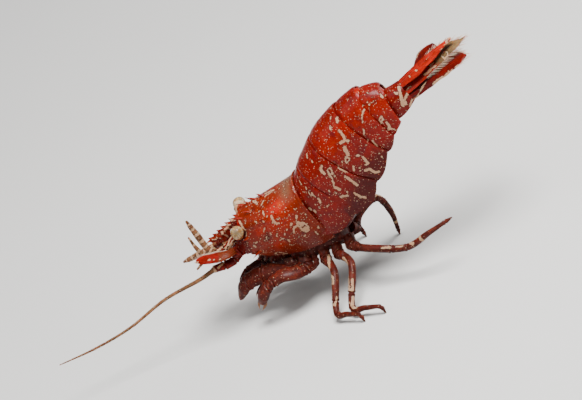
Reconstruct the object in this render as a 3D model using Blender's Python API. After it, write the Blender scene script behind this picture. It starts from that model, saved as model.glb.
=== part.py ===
"""A life-size still model of a Snyder blade shrimp that stands on its walking legs with the abdomen raised.

Design sizes are in millimetres. The head points to -X, the animal's left side to -Y, and +Z is up.
Places on the body are given by s, the distance back from the eye sockets along the hinge line that
bends with the abdomen, y to the animal's right, and z above the hinge line.
"""

import math

import bmesh
import bpy
from mathutils import Matrix, Vector

MM = 0.001
GAP = 0.3  # clearance between neighbouring pieces
PLATE = 0.5  # thickness of flaps and vanes

STAND_HEIGHT = 9.7  # hinge line above the floor at the eye sockets
ORIGIN = Vector((2.83, 0.1, 0.0))  # the middle of the model's footprint, seen from below the eye sockets
CARAPACE_LENGTH = 6.9
SOMITE_ENDS = (CARAPACE_LENGTH, 9.1, 12.3, 16.0, 18.0, 19.6, 21.5)  # the rear of the carapace and of somites 1 to 6
SEAM_GAPS = (0.42, 0.3, 0.3, 0.3, 0.36, 0.42, 0.3)  # wider where the body bends sharply
SEAM_LEANS = (0.0, -0.7, 0.6, 0.3, 0.2, 0.0, 0.0)  # how far back each seam runs at the side plates' lower edge

# s, pitch up and swing to the right in degrees
BODY_BEND = (
    (0.0, 3.0, 0.0),
    (5.6, 4.0, 0.0),
    (7.4, 15.0, 0.0),
    (9.0, 35.0, 0.0),
    (12.3, 38.0, 0.0),
    (14.5, 33.0, 1.0),
    (16.5, 28.0, 3.0),
    (18.0, 20.0, 5.0),
    (19.0, 8.0, 7.0),
    (19.8, 6.0, 9.0),
    (20.8, 18.0, 11.0),
    (22.0, 21.5, 14.0),
)

# s, then height of the back, half-width, depth of the side plates and depth of the belly, from the hinge line
BODY_SECTIONS = (
    (-0.8, 0.85, 1.35, 2.7, 2.5),
    (0.0, 1.1, 1.6, 2.95, 2.7),
    (1.4, 1.3, 2.0, 3.65, 3.4),
    (2.8, 1.54, 2.3, 4.1, 3.8),
    (4.4, 1.8, 2.5, 4.4, 4.1),
    (6.2, 2.13, 2.55, 4.45, 4.1),
    (6.9, 2.35, 2.48, 4.35, 4.0),
    (7.1, 2.3, 2.35, 3.9, 2.3),
    (9.1, 2.9, 2.45, 4.15, 2.1),
    (10.7, 3.1, 2.52, 4.5, 2.0),
    (12.3, 3.35, 2.5, 4.35, 1.9),
    (14.0, 3.4, 2.4, 3.9, 1.8),
    (16.0, 3.25, 2.2, 3.35, 1.7),
    (18.0, 3.0, 1.95, 2.65, 1.5),
    (19.5, 2.1, 1.65, 1.95, 1.2),
    (19.8, 1.25, 1.3, 1.6, 1.1),
    (21.5, 0.95, 1.0, 1.02, 0.75),
)
PLATE_POINTS = 4  # contour points down each side plate
BACK_POINTS = 9  # contour points over the back

ROSTRUM_LENGTH = 4.9
ROSTRUM_DROOP = 21.5  # degrees below level
ROSTRUM_DEPTH = 1.25
CREST_END = 3.6
CREST_RISE = 0.14
CREST_SPINE_HEIGHT = 0.34
UPPER_TEETH = 7
CREST_SPINES = 4

EYE_PLACES = {-1: (-0.15, 2.7, 0.5), 1: (-0.68, 2.78, 0.55)}  # s, distance from the midline and z
EYE_RADIUS = 0.62
EYE_SEAT = 52.0  # degrees below the eye's middle where it is cut off towards its stalk
STALK_RADIUS = 0.38
FACE_REACH = 1.35  # the face's front, ahead of the sockets

LEG_ROOTS = {1: 3.5, 2: 4.45, 3: 5.4, 4: 6.35, 5: 7.28}
FOOT_RADIUS = 0.25
ROOT_REACH = 0.55  # how far a limb runs straight out from its root
RING_SPACING = 0.42
STERNUM_ENDS = (2.35, 7.75)
STERNUM_DEPTH = 1.1
SKIRT = 0.15  # extra room under the carapace's lower edge
MOUTH_DROP = 0.2  # more room there above the mouthparts
PLEOPOD_GAP = 0.42  # from the belly to the swimming feet

SHELL_RED = (0.36, 0.028, 0.012)
LIMB_RED = (0.2, 0.035, 0.02)
TAIL_RED = (0.5, 0.04, 0.015)
EYE_GREY = (0.38, 0.33, 0.24)
FEELER_BROWN = (0.3, 0.13, 0.08)


def clear_scene():
    for item in list(bpy.data.objects):
        bpy.data.objects.remove(item)


def make_material(name, colour, roughness):
    material = bpy.data.materials.new(name)
    material.use_nodes = True
    shader = material.node_tree.nodes["Principled BSDF"]
    shader.inputs["Base Color"].default_value = (*colour, 1.0)
    shader.inputs["Roughness"].default_value = roughness
    shader.inputs["Metallic"].default_value = 0.0
    return material


def ease(t):
    """A smooth passage from 0 to 1."""
    t = min(max(t, 0.0), 1.0)
    return t * t * (3.0 - 2.0 * t)


def read_table(table, s):
    """The row of a table at s, blended between its stations."""
    if s <= table[0][0]:
        return table[0][1:]
    for low, high in zip(table, table[1:]):
        if s <= high[0]:
            t = (s - low[0]) / (high[0] - low[0])
            return tuple(a + (b - a) * t for a, b in zip(low[1:], high[1:]))
    return table[-1][1:]


def body_axes(s):
    """The back, right and up directions of the body at s."""
    reach = 0.5
    bends = [read_table(BODY_BEND, s + shift) for shift in (-reach, 0.0, reach)]
    pitch = math.radians(sum(bend[0] for bend in bends) / len(bends))
    swing = math.radians(sum(bend[1] for bend in bends) / len(bends))
    back = Vector((math.cos(pitch) * math.cos(swing), math.cos(pitch) * math.sin(swing), math.sin(pitch)))
    right = Vector((-math.sin(swing), math.cos(swing), 0.0))
    return back, right, back.cross(right)


class HingeLine:
    """The bent middle line of the body, worked out by short steps."""

    STEP = 0.05
    REACH = (-8.0, 24.0)

    def __init__(self):
        self.points = [Vector((0.0, 0.0, STAND_HEIGHT))]
        self.first = round(self.REACH[0] / self.STEP)
        for i in range(-1, self.first - 1, -1):
            ahead = body_axes((i + 0.5) * self.STEP)[0]
            self.points.insert(0, self.points[0] - ahead * self.STEP)
        for i in range(round(self.REACH[1] / self.STEP)):
            self.points.append(self.points[-1] + body_axes((i + 0.5) * self.STEP)[0] * self.STEP)

    def point(self, s, y=0.0, z=0.0):
        where = s / self.STEP - self.first
        i = min(max(int(where), 0), len(self.points) - 2)
        _, right, up = body_axes(s)
        return self.points[i].lerp(self.points[i + 1], where - i) + right * y + up * z


BODY = HingeLine()


def seam(number, z):
    """s of the seam behind the carapace (0) or a somite (1 to 6) at height z."""
    s = SOMITE_ENDS[number]
    _, _, flank, belly = read_table(BODY_SECTIONS, s)
    return s + SEAM_LEANS[number] * min(max((-z - belly) / (flank - belly), 0.0), 1.0)


def new_object(name, points, faces, material):
    """A closed mesh object from points in millimetres, all faces split into triangles."""
    mesh = bpy.data.meshes.new(name)
    mesh.from_pydata([(p - ORIGIN) * MM for p in points], [], faces)
    mesh.materials.append(material)
    work = bmesh.new()
    work.from_mesh(mesh)
    bmesh.ops.recalc_face_normals(work, faces=work.faces)
    bmesh.ops.triangulate(work, faces=work.faces)
    work.to_mesh(mesh)
    work.free()
    mesh.shade_smooth()
    mesh.set_sharp_from_angle(angle=math.radians(40.0))
    item = bpy.data.objects.new(name, mesh)
    bpy.context.scene.collection.objects.link(item)
    return item


def split_grid(count, size, closed):
    """Triangles over a grid of count rings of size points, all split along the same diagonal."""
    faces = []
    for k in range(count - 1):
        for i in range(size if closed else size - 1):
            a, b = k * size + i, k * size + (i + 1) % size
            c, d = b + size, a + size
            faces += [(a, b, c), (a, c, d)]
    return faces


def loft(name, rings, material, mirrored_caps=False):
    """A closed solid through rings, whose ends are closed from side to side or by a plain face."""
    size = len(rings[0])
    points = [p for ring in rings for p in ring]
    faces = split_grid(len(rings), size, True)
    last = len(points) - size
    for start in (0, last):
        if mirrored_caps:
            for i in range(size // 2):
                corners = [start + i, start + i + 1, start + (size - 1 - i - 1) % size, start + size - 1 - i]
                face = tuple(dict.fromkeys(corners))
                if len(face) > 2:
                    faces.append(face)
        else:
            faces.append(tuple(range(start, start + size)))
    return new_object(name, points, faces, material)


def band(name, outer_rings, inner_rings, material):
    """A closed solid between an outer and an inner grid, such as an arched plate with hanging flaps."""
    count, size = len(outer_rings), len(outer_rings[0])
    points = [p for ring in outer_rings for p in ring] + [p for ring in inner_rings for p in ring]
    skin = split_grid(count, size, False)
    half = count * size
    faces = skin + [tuple(half + i for i in reversed(face)) for face in skin]
    for k in range(count - 1):
        for edge in (0, size - 1):
            a, b = k * size + edge, (k + 1) * size + edge
            faces.append((a, b, half + b, half + a))
    for k in (0, count - 1):
        for i in range(size - 1):
            a = k * size + i
            faces.append((a, a + 1, half + a + 1, half + a))
    return new_object(name, points, faces, material)


def smooth_path(points, count):
    """count points along a smooth curve through the given ones."""
    knots = [points[0] * 2 - points[1], *points, points[-1] * 2 - points[-2]]
    spans = len(points) - 1
    path = []
    for k in range(count):
        where = k * spans / (count - 1)
        i = min(int(where), spans - 1)
        t = where - i
        a, b, c, d = knots[i:i + 4]
        curve = b * 2 + (c - a) * t + (a * 2 - b * 5 + c * 4 - d) * t * t + (b * 3 - a - c * 3 + d) * t ** 3
        path.append(curve * 0.5)
    return path


def even_path(points, spacing):
    """Points at even steps along the smooth curve through the given ones."""
    dense = smooth_path(points, 12 * len(points))
    lengths = [0.0]
    for a, b in zip(dense, dense[1:]):
        lengths.append(lengths[-1] + (b - a).length)
    count = max(round(lengths[-1] / spacing), 3)
    path = []
    i = 0
    for k in range(count + 1):
        reach = lengths[-1] * k / count
        while i < len(dense) - 2 and lengths[i + 1] < reach:
            i += 1
        path.append(dense[i].lerp(dense[i + 1], (reach - lengths[i]) / (lengths[i + 1] - lengths[i])))
    return path


def tube_rings(path, radii, sides, flat=1.0, side=Vector((0.0, 1.0, 0.0)), first=None, last=None):
    """Rings square to a path. flat squeezes them across side; first and last set the end directions."""
    rings = []
    for k, place in enumerate(path):
        before = path[max(k - 1, 0)]
        after = path[min(k + 1, len(path) - 1)]
        ahead = (after - before).normalized()
        if k == 0 and first is not None:
            ahead = first.normalized()
        if k == len(path) - 1 and last is not None:
            ahead = last.normalized()
        across = (side - ahead * side.dot(ahead)).normalized()
        over = ahead.cross(across)
        ring = []
        for i in range(sides):
            angle = math.tau * (i + 0.5) / sides
            ring.append(place + (across * math.cos(angle) + over * math.sin(angle) * flat) * radii[k])
        rings.append(ring)
    return rings


def profile(stations, count):
    """count values read evenly along a list of (part of the length, value) stations."""
    return [read_table(stations, k / (count - 1))[0] for k in range(count)]


def spine(name, root, tip, radius, material, sides=5):
    """A pointed spine whose root end is a flat ring."""
    ahead = tip - root
    side = Vector((0.0, 0.0, 1.0)) if abs(ahead.normalized().z) < 0.9 else Vector((1.0, 0.0, 0.0))
    rings = tube_rings([root, root + ahead * 0.55, tip], [radius, radius * 0.62, radius * 0.16], sides, side=side)
    return loft(name, rings, material)


def keep_largest(item):
    """Leave only the largest closed surface of a mesh."""
    work = bmesh.new()
    work.from_mesh(item.data)
    unseen = set(work.faces)
    groups = []
    while unseen:
        stack = [unseen.pop()]
        group = list(stack)
        while stack:
            for edge in stack.pop().edges:
                fresh = [face for face in edge.link_faces if face in unseen]
                unseen.difference_update(fresh)
                stack += fresh
                group += fresh
        groups.append(group)
    groups.sort(key=len)
    scraps = [face for group in groups[:-1] for face in group]
    bmesh.ops.delete(work, geom=scraps, context="FACES")
    bmesh.ops.triangulate(work, faces=work.faces)
    work.to_mesh(item.data)
    work.free()


def fuse(item, pieces):
    """Join closed pieces to an item by one union, and remove them."""
    holder = bpy.data.collections.new(item.name + "_pieces")
    bpy.context.scene.collection.children.link(holder)
    for piece in pieces:
        holder.objects.link(piece)
    union = item.modifiers.new("Union", "BOOLEAN")
    union.operation = "UNION"
    union.operand_type = "COLLECTION"
    union.collection = holder
    union.solver = "EXACT"
    fused = bpy.data.meshes.new_from_object(item.evaluated_get(bpy.context.evaluated_depsgraph_get()))
    item.modifiers.clear()
    item.data = fused
    for piece in pieces:
        bpy.data.objects.remove(piece)
    bpy.data.collections.remove(holder)
    keep_largest(item)
    return item


def shell_outline(crown, width, flank, pinch):
    """(y, z) points from the left lower edge over the back to the right lower edge."""
    left = []
    for i in range(PLATE_POINTS):
        v = 1.0 - i / PLATE_POINTS
        left.append((-width * (1.0 - (1.0 - pinch) * v ** 2.2), -flank * v))
    over = []
    for i in range(BACK_POINTS):
        angle = math.pi * i / (BACK_POINTS - 1)
        over.append((-width * math.copysign(abs(math.cos(angle)) ** 0.9, math.cos(angle)), crown * math.sin(angle)))
    right = [(-y, z) for y, z in reversed(left)]
    return left + over + right


def carapace_rings():
    rings = []
    count = 9
    for k in range(count):
        t = k / (count - 1)
        station = t * CARAPACE_LENGTH
        crown, width, flank, _ = read_table(BODY_SECTIONS, station)
        outline = shell_outline(crown, width, flank, 0.6)
        ring = []
        for y, z in outline:
            front = -0.7 * ease(-z / 3.0)
            rear = SOMITE_ENDS[0] - SEAM_GAPS[0] / 2
            ring.append(BODY.point(front + t * (rear - front), y, z))
        rings.append(ring)
    return rings


def rostrum_blade(material):
    """The toothed blade that runs from the crest of the carapace to the rostrum's tip."""
    droop = math.radians(ROSTRUM_DROOP)
    ahead = Vector((-math.cos(droop), 0.0, -math.sin(droop)))
    above = Vector((-math.sin(droop), 0.0, math.cos(droop)))
    base = BODY.point(0.2, 0.0, read_table(BODY_SECTIONS, 0.2)[0] - 0.12)
    outline = []
    for k in range(CREST_SPINES + 1):
        s = CREST_END * (1.0 - k / (CREST_SPINES + 1))
        crown = read_table(BODY_SECTIONS, s)[0]
        outline.append(BODY.point(s, 0.0, crown + (CREST_RISE if k else -0.15)))
        if k:
            outline.append(BODY.point(s - 0.62, 0.0, crown + CREST_RISE + CREST_SPINE_HEIGHT))
            outline.append(BODY.point(s - 0.34, 0.0, crown + CREST_RISE))
    for k in range(UPPER_TEETH):
        reach = ROSTRUM_LENGTH * (0.06 + 0.84 * k / UPPER_TEETH)
        outline.append(base + ahead * reach + above * 0.05)
        outline.append(base + ahead * (reach + 0.46) + above * 0.36)
        outline.append(base + ahead * (reach + 0.3) + above * 0.03)
    outline.append(base + ahead * ROSTRUM_LENGTH)
    for share, depth in ((0.88, 0.34), (0.86, 0.6), (0.77, 0.6), (0.74, 0.95), (0.63, 0.95), (0.5, 0.55), (0.3, 0.42)):
        outline.append(base + ahead * ROSTRUM_LENGTH * share - above * ROSTRUM_DEPTH * depth)
    outline.append(base + ahead * 0.35 - above * 0.62)
    outline.append(BODY.point(0.25, 0.0, 0.85))
    outline.append(BODY.point(1.5, 0.0, 1.0))
    outline.append(BODY.point(CREST_END - 0.6, 0.0, 1.2))
    half = Vector((0.0, PLATE / 2, 0.0))
    size = len(outline)
    points = [p - half for p in outline] + [p + half for p in outline]
    faces = [tuple(range(size)), tuple(range(2 * size - 1, size - 1, -1))]
    faces += [(i, (i + 1) % size, size + (i + 1) % size, size + i) for i in range(size)]
    return new_object("rostrum_blade", points, faces, material)


# s, y, z of each front spine's root and tip
FRONT_SPINES = (
    ((0.9, 1.1, 0.6), (-0.4, 1.3, 1.35)),
    ((1.8, 1.1, 0.85), (0.75, 1.2, 1.65)),
    ((0.75, 1.5, -0.9), (-0.8, 2.1, -0.98)),
    ((0.6, 1.4, -2.7), (-0.9, 1.75, -3.3)),
)
FRONT_SPINE_RADIUS = 0.3


def build_carapace(material):
    shell = loft("carapace", carapace_rings(), material, mirrored_caps=True)
    pieces = [rostrum_blade(material)]
    for side in (-1, 1):
        for root, tip in FRONT_SPINES:
            ends = [BODY.point(s, side * y, z) for s, y, z in (root, tip)]
            pieces.append(spine("front_spine", ends[0], ends[1], FRONT_SPINE_RADIUS, material))
    return fuse(shell, pieces)


def build_somite(number, material):
    """One ring of the abdomen: a solid arch with two side plates that hang below the belly."""
    front_gap, rear_gap = SEAM_GAPS[number - 1] / 2, SEAM_GAPS[number] / 2
    count = 7 if number in (2, 3) else 5
    outer_rings, inner_rings = [], []
    start, end = SOMITE_ENDS[number - 1], SOMITE_ENDS[number]
    for k in range(count):
        t = k / (count - 1)
        inside = min(max(start + t * (end - start), start + 0.2), end - 0.01)
        crown, width, flank, belly = read_table(BODY_SECTIONS, inside)
        tuck = 0.93 + 0.07 * ease(t * 2.5)
        hang = belly + (flank - belly) * (0.62 + 0.38 * math.sin(math.pi * (0.1 + 0.8 * t)))
        outline = shell_outline(crown * tuck, width * tuck, hang, 0.9)
        size = len(outline)
        inner = []
        for i, (y, z) in enumerate(outline):
            from_edge = min(i, size - 1 - i)
            side = -1.0 if i < size / 2 else 1.0
            if z < -belly - 0.05 and from_edge < PLATE_POINTS:
                inner.append((y - side * PLATE, z))
            else:
                share = (i - (size - 1) / 2) / ((size - 1) / 2 - 2)
                inner.append(((width * tuck - PLATE - 0.1) * share, -belly))
        ring_pair = []
        for contour in (outline, inner):
            ring = []
            for y, z in contour:
                front = seam(number - 1, z) + front_gap
                rear = seam(number, z) - rear_gap
                ring.append(BODY.point(front + t * (rear - front), y, z))
            ring_pair.append(ring)
        outer_rings.append(ring_pair[0])
        inner_rings.append(ring_pair[1])
    return band(f"abdomen_{number}", outer_rings, inner_rings, material)


def sternum_outline(s):
    """(y, z) points round the underside of the thorax, left edge first."""
    top = -read_table(BODY_SECTIONS, s)[2] - GAP - SKIRT
    return [(-1.3, top), (-1.25, top - 0.35), (-0.5, top - STERNUM_DEPTH), (0.5, top - STERNUM_DEPTH),
            (1.25, top - 0.35), (1.3, top)]


def build_sternum(material):
    rings = []
    count = 7
    for k in range(count):
        s = STERNUM_ENDS[0] + (STERNUM_ENDS[1] - STERNUM_ENDS[0]) * k / (count - 1)
        rings.append([BODY.point(min(s, CARAPACE_LENGTH - 0.01), y, z) + body_axes(s)[0] * max(s - CARAPACE_LENGTH, 0)
                      for y, z in sternum_outline(min(s, CARAPACE_LENGTH - 0.01))])
    return loft("sternum", rings, material)


def leg_root(s, side):
    """Start and direction of a limb on the slanted side of the sternum."""
    outline = sternum_outline(min(s, CARAPACE_LENGTH - 0.01))
    (y1, z1), (y2, z2) = outline[1], outline[2]
    away = Vector((0.0, z2 - z1, y1 - y2)).normalized()
    if away.y > 0:
        away.negate()
    y, z = (y1 + y2) / 2 + away.y * GAP, (z1 + z2) / 2 - abs(away.z) * GAP
    _, right, up = body_axes(s)
    return BODY.point(s, -y * side, z), (right * (-away.y * side) - up * abs(away.z)).normalized()


def limb(name, s, side, knots, radii, material, foot=False, sides=8):
    """A limb from the sternum through knots, which are world places beside the midline."""
    root, away = leg_root(s, side)
    points = [root, root + away * ROOT_REACH]
    points += [Vector((x, side * y, z)) for x, y, z in knots]
    path = even_path(points, RING_SPACING)
    widths = profile(radii, len(path))
    last = None
    if foot:
        last = Vector((0.0, 0.0, -1.0))
        path[-1].z = 0.0
        widths[-1] = FOOT_RADIUS
    rings = tube_rings(path, widths, sides, side=Vector((1.0, 0.0, 0.0)), first=away, last=last)
    return loft(name, rings, material)


# part of the length from the root, radius
WALKING_RADII = ((0.0, 0.32), (0.2, 0.36), (0.45, 0.36), (0.62, 0.33), (0.7, 0.38), (0.85, 0.27), (1.0, 0.25))
CHELIPED_RADII = ((0.0, 0.27), (0.12, 0.29), (0.3, 0.42), (0.5, 0.42), (0.6, 0.5), (0.82, 0.6), (1.0, 0.26))
SLENDER_RADII = ((0.0, 0.26), (0.4, 0.27), (0.8, 0.25), (0.9, 0.27), (1.0, 0.25))
MAXILLIPED_RADII = ((0.0, 0.27), (0.2, 0.28), (0.4, 0.42), (0.6, 0.44), (0.85, 0.38), (1.0, 0.25))

# knees and feet: x, distance from the midline and height above the floor
WALKING_KNOTS = {
    (3, -1): ((6.75, 3.6, 3.3), (6.2, 6.5, 0.95), (7.4, 7.4, 0.85), (8.6, 8.1, 0.8), (8.9, 8.3, 0.0)),
    (3, 1): ((4.7, 4.4, 4.6), (4.3, 6.9, 3.6), (4.2, 8.2, 1.6), (4.2, 8.5, 0.0)),
    (4, -1): ((8.55, 3.4, 3.45), (7.8, 6.5, 0.95), (9.2, 7.3, 0.85), (10.7, 7.9, 0.8), (11.0, 8.0, 0.0)),
    (4, 1): ((6.6, 4.4, 4.6), (6.8, 6.4, 3.3), (7.1, 7.3, 1.4), (7.2, 7.5, 0.0)),
    (5, -1): ((10.4, 2.5, 4.1), (14.1, 3.5, 3.4), (16.9, 3.9, 4.3), (19.6, 4.0, 5.1)),
    (5, 1): ((9.4, 3.0, 5.0), (11.0, 4.4, 5.2), (11.3, 5.4, 2.8), (10.9, 5.8, 0.0)),
}
CHELIPED_KNOTS = ((3.15, 2.4, 4.1), (1.6, 3.0, 4.5), (-0.3, 3.1, 3.7), (-1.9, 2.6, 1.5))
SLENDER_KNOTS = {
    -1: ((3.6, 0.95, 3.1), (2.0, 0.6, 3.2), (0.2, 0.6, 3.35), (-1.4, 0.7, 2.9), (-2.4, 0.8, 1.9)),
    1: ((3.6, 0.95, 3.1), (1.9, 0.6, 3.1), (0.1, 0.6, 3.1), (-1.3, 0.7, 2.5), (-2.1, 0.8, 1.4)),
}
MAXILLIPED_KNOTS = ((1.75, 1.7, 4.1), (0.0, 1.25, 4.4), (-2.4, 1.0, 3.95), (-3.9, 0.8, 2.4))


def build_limbs(material):
    for side, word in ((-1, "left"), (1, "right")):
        limb(f"maxilliped_{word}", STERNUM_ENDS[0], side, MAXILLIPED_KNOTS, MAXILLIPED_RADII, material)
        limb(f"cheliped_{word}", LEG_ROOTS[1], side, CHELIPED_KNOTS, CHELIPED_RADII, material)
        limb(f"leg_2_{word}", LEG_ROOTS[2], side, SLENDER_KNOTS[side], SLENDER_RADII, material)
        for number in (3, 4, 5):
            knots = WALKING_KNOTS[number, side]
            limb(f"leg_{number}_{word}", LEG_ROOTS[number], side, knots, WALKING_RADII, material,
                 foot=knots[-1][-1] == 0.0)


def face_place(ahead, y, z):
    """A world place ahead of the sockets."""
    return BODY.point(-ahead, y, z)


# (y, z) points down the left side of the face
FACE_EDGE = ((-0.6, -0.25), (-1.0, -0.55), (-1.38, -1.2), (-1.48, -2.0), (-1.2, -2.7), (-0.45, -2.9))


def build_face(material):
    """The block between the carapace's front edges that carries the stalks and feelers."""
    outline = [*FACE_EDGE, *((-y, z) for y, z in reversed(FACE_EDGE))]
    rings = []
    for t in (0.0, 0.5, 1.0):
        ring = []
        for y, z in outline:
            rear = 0.7 * ease(-z / 3.0) + GAP
            shrink = 1.0 - 0.06 * t
            ring.append(face_place(rear + t * (FACE_REACH - rear), y * shrink, z))
        rings.append(ring)
    return loft("face", rings, material, mirrored_caps=True)


def build_eyes(stalk_material, eye_material):
    for side, word in ((-1, "left"), (1, "right")):
        s, y, z = EYE_PLACES[side]
        middle = BODY.point(s, side * y, z)
        root = BODY.point(-0.8, side * (1.05 + GAP + 0.12), -0.45)
        ahead = (middle - root).normalized()
        neck = middle - ahead * (EYE_RADIUS * math.sin(math.radians(EYE_SEAT)) + GAP)
        path = [root, root.lerp(neck, 0.5), neck]
        rings = tube_rings(path, [STALK_RADIUS, STALK_RADIUS * 0.95, STALK_RADIUS * 1.15], 10,
                           side=Vector((1.0, 0.0, 0.0)))
        loft(f"eyestalk_{word}", rings, stalk_material)
        path, radii = [], []
        steps = 7
        for k in range(steps):
            angle = math.radians(-EYE_SEAT + (90.0 + EYE_SEAT) * k / (steps - 1))
            path.append(middle + ahead * EYE_RADIUS * math.sin(angle))
            radii.append(max(EYE_RADIUS * math.cos(angle), 0.06))
        loft(f"eye_{word}", tube_rings(path, radii, 14, side=Vector((1.0, 0.0, 0.0)), first=ahead, last=ahead),
             eye_material)


# part of the length from the root, then radius or half-width
ANTENNULE_RADII = ((0.0, 0.32), (0.5, 0.36), (1.0, 0.33))
OUTER_FLAGELLUM_RADII = ((0.0, 0.28), (0.6, 0.29), (1.0, 0.18))
INNER_FLAGELLUM_RADII = ((0.0, 0.25), (0.6, 0.25), (1.0, 0.14))
SCALE_HALF_WIDTHS = ((0.0, 0.3), (0.2, 0.5), (0.55, 0.68), (0.85, 0.52), (1.0, 0.26))
ANTENNA_RADII = ((0.0, 0.32), (0.5, 0.4), (1.0, 0.38))
FLAGELLUM_RADII = ((0.0, 0.32), (0.3, 0.27), (0.8, 0.25), (1.0, 0.14))
PLEOPOD_RADII = ((0.0, 0.25), (0.4, 0.28), (0.8, 0.26), (1.0, 0.18))

# places ahead of the sockets, beside the midline and above the hinge line
ANTENNULE_STEM = ((FACE_REACH + GAP, 0.62, -1.0), (2.4, 0.8, -1.35), (4.2, 0.85, -1.6))
OUTER_FLAGELLA = {
    -1: ((3.9, 0.82, -1.52), (4.35, 0.8, -0.8), (4.55, 0.75, 0.9), (4.75, 0.7, 2.6)),
    1: ((3.9, 0.82, -1.52), (5.0, 0.85, -1.75), (6.6, 1.0, -2.0), (8.2, 1.2, -2.2)),
}
INNER_FLAGELLA = {
    -1: ((3.9, 0.85, -1.6), (4.85, 1.0, -1.2), (5.1, 1.2, -0.2), (5.2, 1.25, 1.2)),
    1: ((3.9, 0.85, -1.6), (4.8, 0.55, -2.0), (5.8, 0.45, -2.5), (6.9, 0.5, -3.1)),
}
SCALE_SPANS = {
    -1: ((FACE_REACH + GAP, 1.3, -1.72), (2.5, 2.15, -1.5), (3.9, 2.35, -1.2), (5.4, 2.2, -0.85)),
    1: ((FACE_REACH + GAP, 1.3, -1.72), (2.5, 2.1, -1.6), (3.9, 2.2, -1.6), (5.3, 2.0, -1.65)),
}
ANTENNA_STEM = ((FACE_REACH + GAP, 1.0, -2.45), (2.6, 1.6, -2.68), (4.4, 1.95, -2.52))
# world x, distance from the midline and height
ANTENNA_SWEEPS = {
    -1: ((-5.9, 2.35, 6.6), (-9.7, 3.0, 6.15), (-13.8, 3.8, 4.95), (-17.5, 4.7, 4.55), (-21.1, 5.8, 4.7)),
    1: ((-6.0, 2.9, 6.1), (-6.6, 4.3, 5.6), (-4.8, 5.8, 5.4), (-0.5, 6.9, 5.4), (4.5, 7.4, 5.3), (9.0, 7.2, 5.2)),
}


def stem_path(places, side, count):
    return smooth_path([face_place(a, side * y, z) for a, y, z in places], count)


def build_feelers(stem_material, feeler_material, scale_material):
    for side, word in ((-1, "left"), (1, "right")):
        forward = -body_axes(0.0)[0]
        stem = loft(f"antennule_{word}", tube_rings(stem_path(ANTENNULE_STEM, side, 6),
                    profile(ANTENNULE_RADII, 6), 8, first=forward), stem_material)
        outer = loft("outer_flagellum", tube_rings(stem_path(OUTER_FLAGELLA[side], side, 9),
                     profile(OUTER_FLAGELLUM_RADII, 9), 7), stem_material)
        inner = loft("inner_flagellum", tube_rings(stem_path(INNER_FLAGELLA[side], side, 9),
                     profile(INNER_FLAGELLUM_RADII, 9), 6), stem_material)
        fuse(stem, [outer, inner])
        lean = Vector((0.0, side * 0.94, -0.34))
        loft(f"antennal_scale_{word}", tube_rings(stem_path(SCALE_SPANS[side], side, 9),
             profile(SCALE_HALF_WIDTHS, 9), 10, flat=0.4,
             side=lean, first=forward), scale_material)
        base = stem_path(ANTENNA_STEM, side, 7)
        loft(f"antenna_{word}", tube_rings(base, profile(ANTENNA_RADII, 7), 8,
             first=forward), stem_material)
        ahead = (base[-1] - base[-2]).normalized()
        start = base[-1] + ahead * GAP
        knots = [start] + [Vector((x, side * y, z)) for x, y, z in ANTENNA_SWEEPS[side]]
        count = 22
        loft(f"antenna_flagellum_{word}", tube_rings(smooth_path(knots, count),
             profile(FLAGELLUM_RADII, count), 6, first=ahead,
             side=Vector((0.0, 0.0, 1.0))), feeler_material)


# s, half-width and depth of the mouthparts
MOUTH_SECTIONS = ((-0.35, 0.55, 0.5), (0.4, 0.85, 0.85), (1.2, 0.95, 1.0), (1.75, 0.8, 0.9))


def build_mouthparts(material):
    """The close-set jaws and inner mouthparts under the front of the carapace."""
    rings = []
    for s, half, depth in MOUTH_SECTIONS:
        _, _, flank, _ = read_table(BODY_SECTIONS, s)
        top = -flank - GAP - SKIRT - MOUTH_DROP
        outline = [(-half, top), (-half * 0.95, top - depth * 0.6), (-half * 0.45, top - depth),
                   (half * 0.45, top - depth), (half * 0.95, top - depth * 0.6), (half, top)]
        rings.append([BODY.point(s, y, z) for y, z in outline])
    return loft("mouthparts", rings, material)


class TailFrame:
    """Places behind the last somite: a back, w to the right and n up, with a slight bank and a dished shape."""

    BANK = 4.0
    DISH = 0.04  # rise over the square of the distance from the midline

    def __init__(self):
        s = SOMITE_ENDS[6]
        self.base = BODY.point(s)
        back, right, up = body_axes(s + 1.0)
        turn = Matrix.Rotation(-math.radians(self.BANK), 3, back)
        self.back, self.right, self.up = back, turn @ right, turn @ up
        if self.right.z < 0:
            self.right, self.up = turn.inverted() @ right, turn.inverted() @ up

    def place(self, a, w, n):
        return self.base + self.back * a + self.right * w + self.up * (n + self.DISH * w * w)


def vane(name, tail, root, spread, length, widths, arch, droop, material):
    """A flat tapered blade of the tail fan, split alike on both faces."""
    across_steps, count = 5, 10
    turn = math.radians(spread)
    top, bottom = [], []
    for k in range(count):
        t = k / (count - 1)
        half = read_table(widths, t)[0]
        for i in range(across_steps):
            v = 2.0 * i / (across_steps - 1) - 1.0
            along, off = t * length - 0.35 * half * abs(v) ** 2 * ease((t - 0.6) / 0.4), v * half
            a = root[0] + along * math.cos(turn) - off * math.sin(turn)
            w = root[1] + along * math.sin(turn) + off * math.cos(turn)
            n = root[2] + arch * (1.0 - v * v) * half - droop * t * t
            thick = PLATE * (1.0 - 0.35 * ease((t - 0.8) / 0.2)) / 2
            top.append(tail.place(a, w, n + thick))
            bottom.append(tail.place(a, w, n - thick))
    rows = [top[k * across_steps:(k + 1) * across_steps] for k in range(count)]
    under = [bottom[k * across_steps:(k + 1) * across_steps] for k in range(count)]
    return band(name, rows, under, material)


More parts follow.
